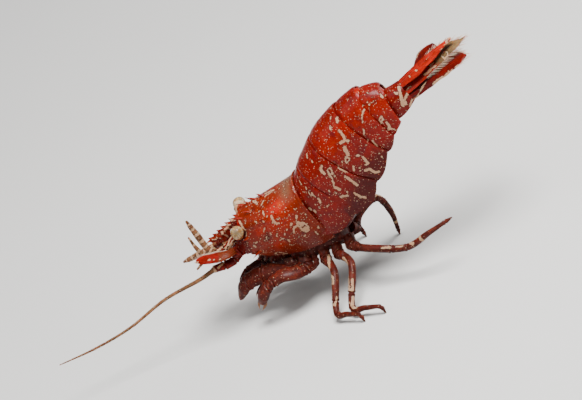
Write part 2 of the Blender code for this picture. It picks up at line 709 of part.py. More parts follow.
TELSON_LENGTH = 6.4
TELSON_RISE = 0.7
TELSON_SWING = -6.0  # degrees to the right
INNER_ROOT = (0.46, -0.12)  # distance from the midline and height
OUTER_ROOT = (0.75, -0.94)
OUTER_WIDTHS = {
    -1: ((0.0, 0.28), (0.14, 0.38), (0.4, 0.56), (0.65, 0.82), (0.85, 0.95), (1.0, 0.5)),
    1: ((0.0, 0.28), (0.14, 0.45), (0.35, 0.95), (0.6, 1.25), (0.82, 1.1), (1.0, 0.55)),
}
INNER_WIDTHS = ((0.0, 0.27), (0.15, 0.38), (0.4, 0.6), (0.65, 0.66), (0.85, 0.52), (1.0, 0.22))
TELSON_WIDTHS = ((0.0, 0.8), (0.2, 0.84), (0.4, 0.78), (0.6, 0.64), (0.85, 0.38), (1.0, 0.2))
# spread to the right in degrees, length and droop of the tip
OUTER_VANES = {-1: (-14.0, 6.6, 0.1), 1: (34.0, 5.1, 0.1)}
INNER_VANES = {-1: (-2.5, 7.2, 0.1), 1: (9.0, 5.1, 0.2)}


def build_tail(material):
    tail = TailFrame()
    telson = vane("telson", tail, (GAP, 0.0, TELSON_RISE), TELSON_SWING, TELSON_LENGTH, TELSON_WIDTHS, 0.12, 0.0, material)
    spines = []
    swing = math.tan(math.radians(TELSON_SWING))
    for side in (-1, 1):
        for a in (3.2, 4.2, 5.1, 5.9):
            half = read_table(TELSON_WIDTHS, a / TELSON_LENGTH)[0]
            root = tail.place(a, a * swing + side * (half - 0.1), TELSON_RISE + 0.05)
            tip = tail.place(a + 0.75, (a + 0.75) * swing + side * (half + 0.22), TELSON_RISE + 0.17)
            spines.append(spine("telson_spine", root, tip, 0.13, material))
    fuse(telson, spines)
    for side, word in ((-1, "left"), (1, "right")):
        spread, length, droop = INNER_VANES[side]
        vane(f"uropod_{word}_inner", tail, (GAP, side * INNER_ROOT[0], INNER_ROOT[1]), spread, length,
             INNER_WIDTHS, 0.1, droop, material)
        spread, length, droop = OUTER_VANES[side]
        vane(f"uropod_{word}_outer", tail, (GAP, side * OUTER_ROOT[0], OUTER_ROOT[1]), spread, length,
             OUTER_WIDTHS[side], 0.1, droop, material)


def build_pleopods(material):
    """The swimming feet: flat blades under the first five somites."""
    for number in range(1, 6):
        start, end = SOMITE_ENDS[number - 1], SOMITE_ENDS[number]
        s = (start + end) / 2
        _, width, flank, belly = read_table(BODY_SECTIONS, s)
        for side, word in ((-1, "left"), (1, "right")):
            reach = flank - belly - PLEOPOD_GAP
            path = []
            count = 6
            for k in range(count):
                t = k / (count - 1)
                path.append(BODY.point(s - 0.1 + 0.5 * t * t, side * (0.25 * width), -belly - PLEOPOD_GAP - reach * t))
            rings = tube_rings(path, profile(PLEOPOD_RADII, count), 8,
                               flat=1.0, side=body_axes(s)[1], first=-body_axes(s)[2])
            loft(f"pleopod_{number}_{word}", rings, material)


def main():
    clear_scene()
    shell = make_material("shell", SHELL_RED, 0.35)
    limbs = make_material("limbs", LIMB_RED, 0.4)
    fan = make_material("tail_fan", TAIL_RED, 0.35)
    eyes = make_material("eyes", EYE_GREY, 0.2)
    feelers = make_material("feelers", FEELER_BROWN, 0.4)
    build_carapace(shell)
    build_sternum(limbs)
    for number in range(1, 7):
        build_somite(number, shell)
    build_tail(fan)
    build_face(shell)
    build_eyes(shell, eyes)
    build_feelers(limbs, feelers, fan)
    build_mouthparts(limbs)
    build_limbs(limbs)
    build_pleopods(limbs)


main()
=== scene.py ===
"""Looks of a life-size blade shrimp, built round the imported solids, which are the fixed frame.

Design sizes are in millimetres. The head points to -X, the animal's left side to -Y, and +Z is up.
Places on the body are given by s, the distance back from the eye sockets along the hinge line, y to
the animal's right and z above the hinge line, as in the solids.
"""

import math

import bpy
import numpy as np
from mathutils import Matrix, Vector


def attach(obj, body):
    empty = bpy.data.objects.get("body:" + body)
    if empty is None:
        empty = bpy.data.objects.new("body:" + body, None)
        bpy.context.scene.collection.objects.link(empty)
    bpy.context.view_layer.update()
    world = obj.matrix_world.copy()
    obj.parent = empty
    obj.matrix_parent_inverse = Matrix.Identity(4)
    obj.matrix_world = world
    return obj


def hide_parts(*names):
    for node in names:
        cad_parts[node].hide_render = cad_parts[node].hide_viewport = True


bl_info = {
    "name": "Blade shrimp model",
    "version": (1, 0, 0),
    "blender": (4, 5, 0),
    "location": "3D View > Sidebar > Shrimp",
    "description": "Builds the shell, limbs, feelers, tail fan and stage of a life-size blade shrimp",
    "category": "Object",
}

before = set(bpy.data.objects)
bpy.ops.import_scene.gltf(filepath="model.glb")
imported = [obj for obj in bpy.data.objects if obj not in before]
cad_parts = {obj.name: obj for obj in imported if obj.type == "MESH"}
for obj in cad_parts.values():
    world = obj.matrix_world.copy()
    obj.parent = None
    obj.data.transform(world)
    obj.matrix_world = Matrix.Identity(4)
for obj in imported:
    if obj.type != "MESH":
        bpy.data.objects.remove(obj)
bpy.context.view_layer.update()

MM = 0.001
GAP = 0.3  # clearance between neighbouring solids
STAND_HEIGHT = 9.7
ORIGIN = np.array((2.83, 0.1, 0.0))
CARAPACE_LENGTH = 6.9
SOMITE_ENDS = (CARAPACE_LENGTH, 9.1, 12.3, 16.0, 18.0, 19.6, 21.5)
SEAM_LEANS = (0.0, -0.7, 0.6, 0.3, 0.2, 0.0, 0.0)

# s, pitch up and swing to the right in degrees
BODY_BEND = (
    (0.0, 3.0, 0.0),
    (5.6, 4.0, 0.0),
    (7.4, 15.0, 0.0),
    (9.0, 35.0, 0.0),
    (12.3, 38.0, 0.0),
    (14.5, 33.0, 1.0),
    (16.5, 28.0, 3.0),
    (18.0, 20.0, 5.0),
    (19.0, 8.0, 7.0),
    (19.8, 6.0, 9.0),
    (20.8, 18.0, 11.0),
    (22.0, 21.5, 14.0),
)

# s, then height of the back, half-width, depth of the side plates and depth of the belly, from the hinge line
BODY_SECTIONS = (
    (-0.8, 0.85, 1.35, 2.7, 2.5),
    (0.0, 1.1, 1.6, 2.95, 2.7),
    (1.4, 1.3, 2.0, 3.65, 3.4),
    (2.8, 1.54, 2.3, 4.1, 3.8),
    (4.4, 1.8, 2.5, 4.4, 4.1),
    (6.2, 2.13, 2.55, 4.45, 4.1),
    (6.9, 2.35, 2.48, 4.35, 4.0),
    (7.1, 2.3, 2.35, 3.9, 2.3),
    (9.1, 2.9, 2.45, 4.15, 2.1),
    (10.7, 3.1, 2.52, 4.5, 2.0),
    (12.3, 3.35, 2.5, 4.35, 1.9),
    (14.0, 3.4, 2.4, 3.9, 1.8),
    (16.0, 3.25, 2.2, 3.35, 1.7),
    (18.0, 3.0, 1.95, 2.65, 1.5),
    (19.5, 2.1, 1.65, 1.95, 1.2),
    (19.8, 1.25, 1.3, 1.6, 1.1),
    (21.5, 0.95, 1.0, 1.02, 0.75),
)

ROSTRUM_LENGTH = 4.9
ROSTRUM_DROOP = 21.5
CREST_END = 3.6
FAR = 1.0e3  # a distance that stands for no mark at all
SHARP_EDGE = 55.0  # degrees between faces from which an edge looks sharp
HINGE_STEP = 0.05
HINGE_STEPS_AHEAD = 160  # steps of the hinge line ahead of the eye sockets
HINGE_STEPS_BEHIND = 600
BEND_REACH = 0.5  # distance over which the body's bends are evened out
CURVE_SAMPLES = 24  # points between two knots of a smooth curve
SPINE_RINGS = 9
BRISTLE_RINGS = 5
SOMITE_TUCK = 0.5  # how far a somite's front lies under the plate before it
SOFT_SIDES = 64
SOFT_INSET = 0.3  # clearance of the soft body below the sides of the plates

# The view: degrees round from -Y towards +X, above the floor, and turned in the picture
VIEW_AZIMUTH = 20.57
VIEW_ELEVATION = 25.6
VIEW_ROLL = 28.4
FRAME_SIZE = (582, 400)
PIXELS_PER_MM = 10.745
SOCKET_PIXEL = (236.9, 208.4)  # where the top of the head above the eye sockets lies in the frame
SOCKET_TOP = 1.5
SENSOR_WIDTH = 36.0
FLOOR_REACH = 1.5  # half the floor's side in metres
LAMP_LOWEST = 0.06

# Starts of the random draws
SEEDS = {
    "carapace marks": 3, "carapace specks": 5, "somite specks": 20, "inner fringe": 31, "outer fringe": 41,
    "maxilliped": 51, "cheliped": 61, "leg spines": 71, "leg bristles": 81, "toe bristles": 91,
    "mouthparts": 100, "pleopods": 110, "feeler bands": 7, "scale fringe": 17, "feeler specks": 27,
}


class ShrimpSizes(bpy.types.PropertyGroup):
    """Sizes that change the surface of the model."""

    mesh_step: bpy.props.FloatProperty(
        name="Mesh step", description="Distance between the points of the shell's surface",
        default=0.0001, min=0.00004, max=0.0005, unit="LENGTH")
    plate_thickness: bpy.props.FloatProperty(
        name="Shell thickness", description="Thickness of the shell plates",
        default=0.0001, min=0.00005, max=0.0005, unit="LENGTH")
    seta_length: bpy.props.FloatProperty(
        name="Fringe length", description="Length of the bristles along the tail fan",
        default=0.0009, min=0.0002, max=0.002, unit="LENGTH")
    wetness: bpy.props.FloatProperty(
        name="Wetness", description="Strength of the wet gloss on shell and limbs",
        default=0.13, min=0.0, max=1.0, subtype="FACTOR")


def colour(name, text, value):
    """A colour property."""
    return bpy.props.FloatVectorProperty(name=name, description=text, default=value, min=0.0, max=1.0,
                                         size=3, subtype="COLOR")


class ShrimpColours(bpy.types.PropertyGroup):
    """Colours of the animal and of the floor it stands on."""

    shell: colour("Shell", "Brick red of the shell in light", (0.18, 0.0046, 0.002))
    # Shell shade is the maroon painted as shade towards the belly and on shaded faces; it is also the dark of
    # the marks' hems, the pigment dots and the tail blades towards their roots
    shell_dark: colour("Shell shade", "Maroon of the shell towards the belly", (0.048, 0.003, 0.0024))
    glow: colour("Glow", "Scarlet that shines through the shell of the carapace", (0.37, 0.009, 0.002))
    band: colour("Back band", "Tan brown at the rear of the carapace", (0.15, 0.055, 0.028))
    mark: colour("Marks", "Cream pink of the marks", (0.62, 0.465, 0.31))
    limb: colour("Limbs", "Brown maroon of the limbs", (0.075, 0.009, 0.005))
    fan: colour("Tail fan", "Orange red of the tail fan", (0.4, 0.012, 0.0025))
    olive: colour("Clear vane", "Brown olive of the clear vane of the tail fan", (0.20, 0.115, 0.05))
    eye: colour("Eye", "Grey of the eye", (0.27, 0.2, 0.115))
    feeler: colour("Feelers", "Brown of the long feelers", (0.22, 0.10, 0.045))
    bristle: colour("Bristles", "Pale horn of the fringe bristles", (0.50, 0.36, 0.27))
    floor: colour("Floor", "Pale floor", (0.66, 0.65, 0.63))


class ShrimpStage(bpy.types.PropertyGroup):
    """Light and camera."""

    key_power: bpy.props.FloatProperty(
        name="Key light", description="Power of the main soft light", default=1.35, min=0.0, unit="POWER")
    fill_power: bpy.props.FloatProperty(
        name="Fill light", description="Power of the soft light on the shadow side", default=0.3, min=0.0,
        unit="POWER")
    camera_distance: bpy.props.FloatProperty(
        name="Camera distance", description="Distance from the camera to the animal", default=0.45, min=0.1,
        unit="LENGTH")


def table_at(table, s):
    """The columns of a table at s, blended between its stations."""
    rows = np.array(table)
    return np.stack([np.interp(s, rows[:, 0], rows[:, c]) for c in range(1, rows.shape[1])], axis=-1)


def smooth(t):
    """A smooth passage from 0 to 1."""
    t = np.clip(t, 0.0, 1.0)
    return t * t * (3.0 - 2.0 * t)


def bell(x, middle, spread):
    """A bump of height 1 with soft sides."""
    return np.exp(-((x - middle) / spread) ** 2)


def bells(s, q, places):
    """Bumps on a surface, each with its height and its middle and spread in s and in q."""
    return sum(height * bell(s, s0, s1) * bell(q, q0, q1) for height, s0, s1, q0, q1 in places)


def tinted(rgb, *factors):
    """A colour made darker or lighter, by one factor or by one for each channel."""
    return tuple(c * factor for c, factor in zip(rgb, factors if len(factors) > 1 else factors * 3))


def unit(v):
    """Vectors of length 1 in the same directions."""
    return v / np.maximum(np.linalg.norm(v, axis=-1, keepdims=True), 1e-12)


def body_axes(s):
    """The back, right and up directions of the body at s."""
    shifts = (-BEND_REACH, 0.0, BEND_REACH)
    bends = np.radians(sum(table_at(BODY_BEND, np.asarray(s) + shift) for shift in shifts) / len(shifts))
    pitch, swing = bends[..., 0], bends[..., 1]
    back = np.stack([np.cos(pitch) * np.cos(swing), np.cos(pitch) * np.sin(swing), np.sin(pitch)], axis=-1)
    right = np.stack([-np.sin(swing), np.cos(swing), np.zeros_like(swing)], axis=-1)
    return back, right, np.cross(back, right)


def hinge_line():
    """Stations along the body and the hinge line's places there."""
    stations = np.arange(-HINGE_STEPS_AHEAD, HINGE_STEPS_BEHIND) * HINGE_STEP
    steps = body_axes(stations[:-1] + HINGE_STEP / 2)[0] * HINGE_STEP
    places = np.vstack([np.zeros(3), np.cumsum(steps, axis=0)])
    return stations, places - places[HINGE_STEPS_AHEAD] + (0.0, 0.0, STAND_HEIGHT)


HINGE_STATIONS, HINGE_PLACES = hinge_line()


def on_body(s, y=0.0, z=0.0):
    """World places in millimetres, before the origin is moved, of places on the body."""
    s, y, z = np.broadcast_arrays(np.asarray(s, float), np.asarray(y, float), np.asarray(z, float))
    _, right, up = body_axes(s)
    line = np.stack([np.interp(s, HINGE_STATIONS, HINGE_PLACES[:, c]) for c in range(3)], axis=-1)
    return line + right * y[..., None] + up * z[..., None]


def seam(number, z):
    """s of the seam behind the carapace (0) or a somite (1 to 6) at height z."""
    flank, belly = table_at(BODY_SECTIONS, SOMITE_ENDS[number])[2:]
    return SOMITE_ENDS[number] + SEAM_LEANS[number] * np.clip((-z - belly) / (flank - belly), 0.0, 1.0)


def contour(crown, width, flank, pinch, side_count, back_count):
    """(y, z) from the left lower edge over the back to the right lower edge, as arrays."""
    v = 1.0 - np.arange(side_count) / side_count
    left_y = -width * (1.0 - (1.0 - pinch) * v ** 2.2)
    left_z = -flank * v
    angle = np.pi * np.arange(back_count) / (back_count - 1)
    over_y = -width * np.sign(np.cos(angle)) * np.abs(np.cos(angle)) ** 0.9
    over_z = crown * np.sin(angle)
    y = np.concatenate([left_y, over_y, -left_y[::-1]])
    z = np.concatenate([left_z, over_z, left_z[::-1]])
    return y, z


def girth(y, z):
    """Signed distance along a contour from its middle, which is on the back."""
    run = np.concatenate([[0.0], np.cumsum(np.hypot(np.diff(y), np.diff(z)))])
    return run - run[len(run) // 2]


def there_and_back(grid):
    """The columns of a grid and again in reverse, for the two faces of a blade."""
    return np.concatenate([grid, grid[:, ::-1]], axis=1)


def even_loop(points, count):
    """Even places round a closed line, as two arrays."""
    loop = np.vstack([points, points[:1]])
    run = np.concatenate([[0.0], np.cumsum(np.hypot(*np.diff(loop, axis=0).T))])
    even = np.linspace(0.0, run[-1], count + 1)[:-1]
    return [np.interp(even, run, loop[:, c]) for c in (0, 1)]


def quads(rows, columns, wrap=False, start=0, turn=False):
    """The faces of a grid of points."""
    r, c = np.meshgrid(np.arange(rows - 1), np.arange(columns if wrap else columns - 1), indexing="ij")
    a = r * columns + c
    b = r * columns + (c + 1) % columns
    faces = np.stack([a, b, b + columns, a + columns], axis=-1).reshape(-1, 4) + start
    return faces[:, ::-1] if turn else faces


class Patch:
    """Points, faces and per-point values that are gathered into one mesh."""

    def __init__(self):
        self.points, self.faces, self.values, self.count = [], [], {}, 0

    def add(self, points, faces, **values):
        """Adds points (n, 3), lists of faces that count from 0, and values for the points."""
        points = np.asarray(points, float).reshape(-1, 3)
        n = len(points)
        for name in {**self.values, **values}:
            value = np.asarray(values.get(name, FAR), float)
            known = self.values.setdefault(name, [np.full(self.count, FAR)] if self.count else [])
            known.append(value.reshape(-1) if value.ndim else np.full(n, value))
        for group in faces:
            self.faces.extend((np.asarray(group) + self.count).tolist())
        self.points.append(points)
        self.count += n

    def plate(self, grid, thickness, **values):
        """A thin closed plate whose outer face is a grid of points."""
        rows, columns = grid.shape[:2]
        normal = unit(np.cross(np.gradient(grid, axis=1), np.gradient(grid, axis=0)))
        thick = np.broadcast_to(np.asarray(thickness, float), grid.shape[:2])
        inner = grid - normal * thick[..., None]
        n = rows * columns
        index = np.arange(n).reshape(rows, columns)
        rim = np.concatenate([index[0, :-1], index[:-1, -1], index[-1, :0:-1], index[:0:-1, 0]])
        after = np.roll(rim, -1)
        sides = np.stack([rim, rim + n, after + n, after], axis=-1)
        doubled = {k: np.tile(np.ravel(v), 2) if np.ndim(v) else v for k, v in values.items()}
        self.add(np.concatenate([grid.reshape(-1, 3), inner.reshape(-1, 3)]),
                 [quads(rows, columns, turn=True), quads(rows, columns, start=n), sides], **doubled)

    def tube(self, grid, **values):
        """A closed tube through rings of points."""
        rows, columns = grid.shape[:2]
        last = (rows - 1) * columns
        caps = [np.arange(columns)[None, ::-1], np.arange(last, last + columns)[None, :]]
        self.add(grid.reshape(-1, 3), [quads(rows, columns, wrap=True), *caps], **values)

    def skin(self, node, material, slot="limbs"):
        """The mesh object that stands for one solid and is named after it."""
        return self.build(f"{node}_skin", material, slot, [node])

    def build(self, name, material, slot, nodes=()):
        """The mesh object, on the body, standing for the given solids."""
        mesh = bpy.data.meshes.new(name)
        points = (np.concatenate(self.points) - ORIGIN) * MM
        mesh.from_pydata(points.tolist(), [], self.faces)
        for key, parts in self.values.items():
            layer = mesh.attributes.new(key, "FLOAT", "POINT")
            layer.data.foreach_set("value", np.concatenate(parts).astype(np.float32))
        mesh.validate()
        mesh.shade_smooth()
        mesh.set_sharp_from_angle(angle=math.radians(SHARP_EDGE))
        mesh.materials.append(material)
        piece = bpy.data.objects.new(name, mesh)
        bpy.context.scene.collection.objects.link(piece)
        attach(piece, "root")
        if nodes:
            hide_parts(*nodes)
        return piece


def rounded(angle):
    """Angles brought between minus and plus half a turn."""
    return (angle + np.pi) % math.tau - np.pi


def curve_through(knots, spacing):
    """Even points along a smooth curve through the knots, with the length run so far."""
    knots = np.asarray(knots, float)
    ends = np.vstack([knots[0] * 2 - knots[1], knots, knots[-1] * 2 - knots[-2]])
    dense = []
    for i in range(len(knots) - 1):
        a, b, c, d = ends[i:i + 4]
        t = np.linspace(0.0, 1.0, CURVE_SAMPLES, endpoint=False)[:, None]
        dense.append(0.5 * (b * 2 + (c - a) * t + (a * 2 - b * 5 + c * 4 - d) * t ** 2
                            + (b * 3 - a - c * 3 + d) * t ** 3))
    dense = np.vstack([*dense, knots[-1:]])
    run = np.concatenate([[0.0], np.cumsum(np.linalg.norm(np.diff(dense, axis=0), axis=1))])
    even = np.linspace(0.0, run[-1], max(int(round(run[-1] / spacing)), 4) + 1)
    return np.stack([np.interp(even, run, dense[:, c]) for c in range(3)], axis=-1), even


def carried_frames(path, side):
    """Directions along, across and over at each point of a path, with no twist."""
    along = unit(np.gradient(path, axis=0))
    across = np.zeros_like(path)
    current = np.asarray(side, float)
    for k in range(len(path)):
        current = unit(current - along[k] * np.dot(current, along[k]))
        across[k] = current
    return along, across, np.cross(along, across)


def tube_grid(path, radii, sides, flat=1.0, side=(0.0, 1.0, 0.0)):
    """Rings round a path. flat squeezes them across side. Also returns each point's angle."""
    _, across, over = carried_frames(path, side)
    angle = math.tau * np.arange(sides) / sides
    radii = np.broadcast_to(np.asarray(radii, float), len(path))
    flat = np.broadcast_to(np.asarray(flat, float), len(path))
    ring = (across[:, None] * np.cos(angle)[None, :, None]
            + over[:, None] * (np.sin(angle)[None, :] * flat[:, None])[..., None])
    return path[:, None] + ring * radii[:, None, None], np.broadcast_to(angle, (len(path), sides))


def beside(ahead):
    """A direction that is well off the given one."""
    return (0.0, 0.0, 1.0) if abs(unit(ahead)[2]) < 0.9 else (1.0, 0.0, 0.0)


def add_spine(patch, root, tip, radius, bend=(0.0, 0.0, 0.0), sides=8, **values):
    """A tapered spine from root to tip, bent by a sideways push at its middle."""
    root, tip, bend = (np.asarray(v, float) for v in (root, tip, bend))
    t = np.linspace(0.0, 1.0, SPINE_RINGS)[:, None]
    path = root + (tip - root) * t + bend * (4 * t * (1 - t))
    radii = radius * np.maximum(1.0 - t[:, 0] ** 1.3, 0.05)
    patch.tube(tube_grid(path, radii, sides, side=beside(tip - root))[0], **values)


def stroke_distance(u, v, strokes):
    """Distance to the nearest stroke's edge, negative inside. Strokes are (half-width, [(u, v), ...])."""
    best = np.full(np.broadcast(u, v).shape, FAR)
    for half, points in strokes:
        points = list(points)
        pairs = list(zip(points, points[1:])) or [(points[0], points[0])]
        for (u0, v0), (u1, v1) in pairs:
            du, dv = u1 - u0, v1 - v0
            length = max(du * du + dv * dv, 1e-9)
            t = np.clip(((u - u0) * du + (v - v0) * dv) / length, 0.0, 1.0)
            best = np.minimum(best, np.hypot(u - u0 - t * du, v - v0 - t * dv) - half)
    return best


class Paint:
    """Short names for building a node material."""

    def __init__(self, name):
        self.material = bpy.data.materials.new(name)
        self.material.use_nodes = True
        self.tree = self.material.node_tree
        self.shader = self.tree.nodes["Principled BSDF"]
        self.place = self.node("ShaderNodeTexCoord").outputs["Object"]

    def node(self, kind, **settings):
        """A new node with its settings."""
        made = self.tree.nodes.new(kind)
        for key, value in settings.items():
            setattr(made, key, value)
        return made

    def feed(self, socket, value):
        """Links an output to a socket, or sets the socket's value."""
        if isinstance(value, bpy.types.NodeSocket):
            self.tree.links.new(value, socket)
        elif socket.type == "RGBA":
            socket.default_value = (*value, 1.0)
        else:
            socket.default_value = value

    def math(self, operation, a, b=0.0):
        """The result of an operation on two values."""
        made = self.node("ShaderNodeMath", operation=operation)
        for socket, value in zip(made.inputs, (a, b)):
            self.feed(socket, value)
        return made.outputs[0]

    def times(self, a, b):
        """The product of two values."""
        return self.math("MULTIPLY", a, b)

    def sway(self, noise, strength):
        """Noise moved from the middle 0.5 to 0, with its strength."""
        return self.times(self.math("SUBTRACT", noise, 0.5), strength)

    def texture(self, kind, output, settings, **kept):
        """An output of a texture laid over the piece, with its settings."""
        made = self.node(kind, **kept)
        self.feed(made.inputs["Vector"], self.place)
        for name, value in settings.items():
            made.inputs[name].default_value = value
        return made.outputs[output]

    def value(self, name):
        """A per-point value of the mesh."""
        return self.node("ShaderNodeAttribute", attribute_name=name).outputs["Fac"]

    def noise(self, per_mm, detail=2.0, rough=0.55, shift=0.0):
        """Cloudy noise with that many lumps to the millimetre, centred on 0.5."""
        settings = {"W": shift, "Scale": per_mm / MM, "Detail": detail, "Roughness": rough}
        return self.texture("ShaderNodeTexNoise", "Fac", settings, noise_dimensions="4D")

    def cells(self, per_mm, spread=1.0):
        """Distance to the nearest of scattered points, in cells."""
        return self.texture("ShaderNodeTexVoronoi", "Distance", {"Scale": per_mm / MM, "Randomness": spread})

    def dots(self, per_mm, outer, inner, spread=1.0):
        """Scattered round dots, whose edges fade from one radius to a smaller one."""
        return self.step(self.cells(per_mm, spread), outer, inner)

    def step(self, value, low, high, to_low=0.0, to_high=1.0):
        """A smooth passage from one value to another between two limits."""
        made = self.node("ShaderNodeMapRange", interpolation_type="SMOOTHSTEP")
        for socket, given in zip(made.inputs, (value, low, high, to_low, to_high)):
            self.feed(socket, given)
        return made.outputs[0]

    def mix(self, share, a, b):
        """One colour passing into another."""
        made = self.node("ShaderNodeMix", data_type="RGBA", clamp_factor=True)
        self.feed(made.inputs[0], share)
        self.feed(made.inputs[6], a)
        self.feed(made.inputs[7], b)
        return made.outputs[2]

    def lay(self, base, cover, strength, over):
        """The base colour with another laid over it."""
        return self.mix(self.times(cover, strength), base, over)

    def bump(self, height, distance):
        """Relief of that many millimetres, laid over any relief made before."""
        made = self.node("ShaderNodeBump")
        made.inputs["Strength"].default_value = 1.0
        made.inputs["Distance"].default_value = distance * MM
        self.feed(made.inputs["Height"], height)
        normal = self.shader.inputs["Normal"]
        if normal.is_linked:
            self.feed(made.inputs["Normal"], normal.links[0].from_socket)
        self.feed(normal, made.outputs["Normal"])

    def finish(self, colour, roughness, wetness, depth=0.0, spread=0.6):
        """Colour, roughness, wet coat and light that passes through."""
        inputs = self.shader.inputs
        self.feed(inputs["Base Color"], colour)
        self.feed(inputs["Roughness"], roughness)
        for name, value in (("IOR", 1.42), ("Specular IOR Level", 0.12), ("Coat Weight", wetness),
                            ("Coat Roughness", 0.14), ("Coat IOR", 1.34), ("Subsurface Weight", depth),
                            ("Subsurface Radius", (1.0, 0.22, 0.1)), ("Subsurface Scale", spread * MM)):
            inputs[name].default_value = value
        return self.material


def marked(paint, base, cream, hem, ragged=0.05):
    """The base colour with the cream marks over it, with ragged edges and a darker hem round each."""
    reach = paint.math("ADD", paint.value("mark"), paint.sway(paint.noise(4.6, 4.0, 0.7, 3.0), ragged * 9))
    cover = paint.step(reach, 0.015, -0.04)
    hollow = paint.step(reach, -0.01, -0.045)
    warm = tinted(cream, 0.92, 0.72, 0.58)
    cream = paint.mix(paint.step(paint.noise(7.0, 3.0), 0.4, 0.7), tinted(cream, 1.15), warm)
    cream = paint.lay(cream, hollow, 0.9, paint.mix(0.58, base, warm))
    base = paint.lay(base, paint.step(reach, 0.11, 0.0), 0.6, hem)
    return paint.lay(base, cover, 0.96, cream), cover


ORGAN_RED = (0.4, 0.06, 0.005)
CLOUD_PLUM = (0.05, 0.006, 0.009)
FRECKLE_TAN = (0.5, 0.17, 0.06)


def shell_paint(name, colours, wetness, light, dark):
    """Shell with mottling, painted shade, dark pigment dots, pale specks, cream marks and a wet gloss."""
    paint = Paint(name)
    cloud = paint.noise(0.55, 4.0, 0.6)
    fine = paint.noise(3.2, 3.0, 0.6, 9.0)
    base = paint.mix(paint.step(cloud, 0.36, 0.66), tinted(light, 0.72), light)
    base = paint.mix(paint.step(fine, 0.44, 0.72, 0.0, 0.5), base, tinted(light, 0.45))
    base = paint.mix(paint.value("glow"), base, colours.glow)
    base = paint.mix(paint.value("band"), base, colours.band)
    # Painted shade: where the shade values, stirred by cloudy noise, are high, the shell turns to the dark
    # colour
    shade = paint.math("ADD", paint.value("shade"), paint.sway(cloud, 0.7))
    base = paint.mix(paint.step(shade, 0.15, 0.95), base, dark)
    base = paint.lay(base, paint.dots(2.6, 0.2, 0.1), 0.35, tinted(dark, 0.3))
    base = paint.lay(base, paint.dots(3.7, 0.13, 0.06, spread=0.9), 0.5, colours.glow)
    organs = paint.times(paint.step(paint.noise(1.5, 4.0, 0.7, 14.0), 0.5, 0.66), paint.value("glow"))
    base = paint.lay(base, organs, 0.6, ORGAN_RED)
    base = paint.lay(base, paint.step(paint.noise(1.1, 3.0, 0.6, 21.0), 0.52, 0.7), 0.6, CLOUD_PLUM)
    strewn = paint.step(paint.noise(1.3, 2.0, 0.5, 37.0), 0.42, 0.6)
    base = paint.lay(base, paint.times(paint.dots(3.3, 0.2, 0.12), strewn), 0.75, FRECKLE_TAN)
    strewn = paint.step(paint.noise(2.2, 2.0, 0.5, 30.0), 0.42, 0.56)
    base = paint.lay(base, paint.times(paint.dots(5.2, 0.25, 0.12), strewn), 0.75, colours.mark)
    base, cover = marked(paint, base, colours.mark, tinted(dark, 0.35))
    paint.bump(paint.noise(14.0, 3.0, 0.65, 5.0), 0.006)
    paint.bump(paint.times(paint.dots(5.5, 0.3, 0.05), -1.0), 0.012)
    paint.bump(cover, 0.008)
    paint.bump(cloud, 0.08)
    rough = paint.step(fine, 0.3, 0.8, 0.26, 0.42)
    return paint.finish(base, rough, wetness, depth=0.12)


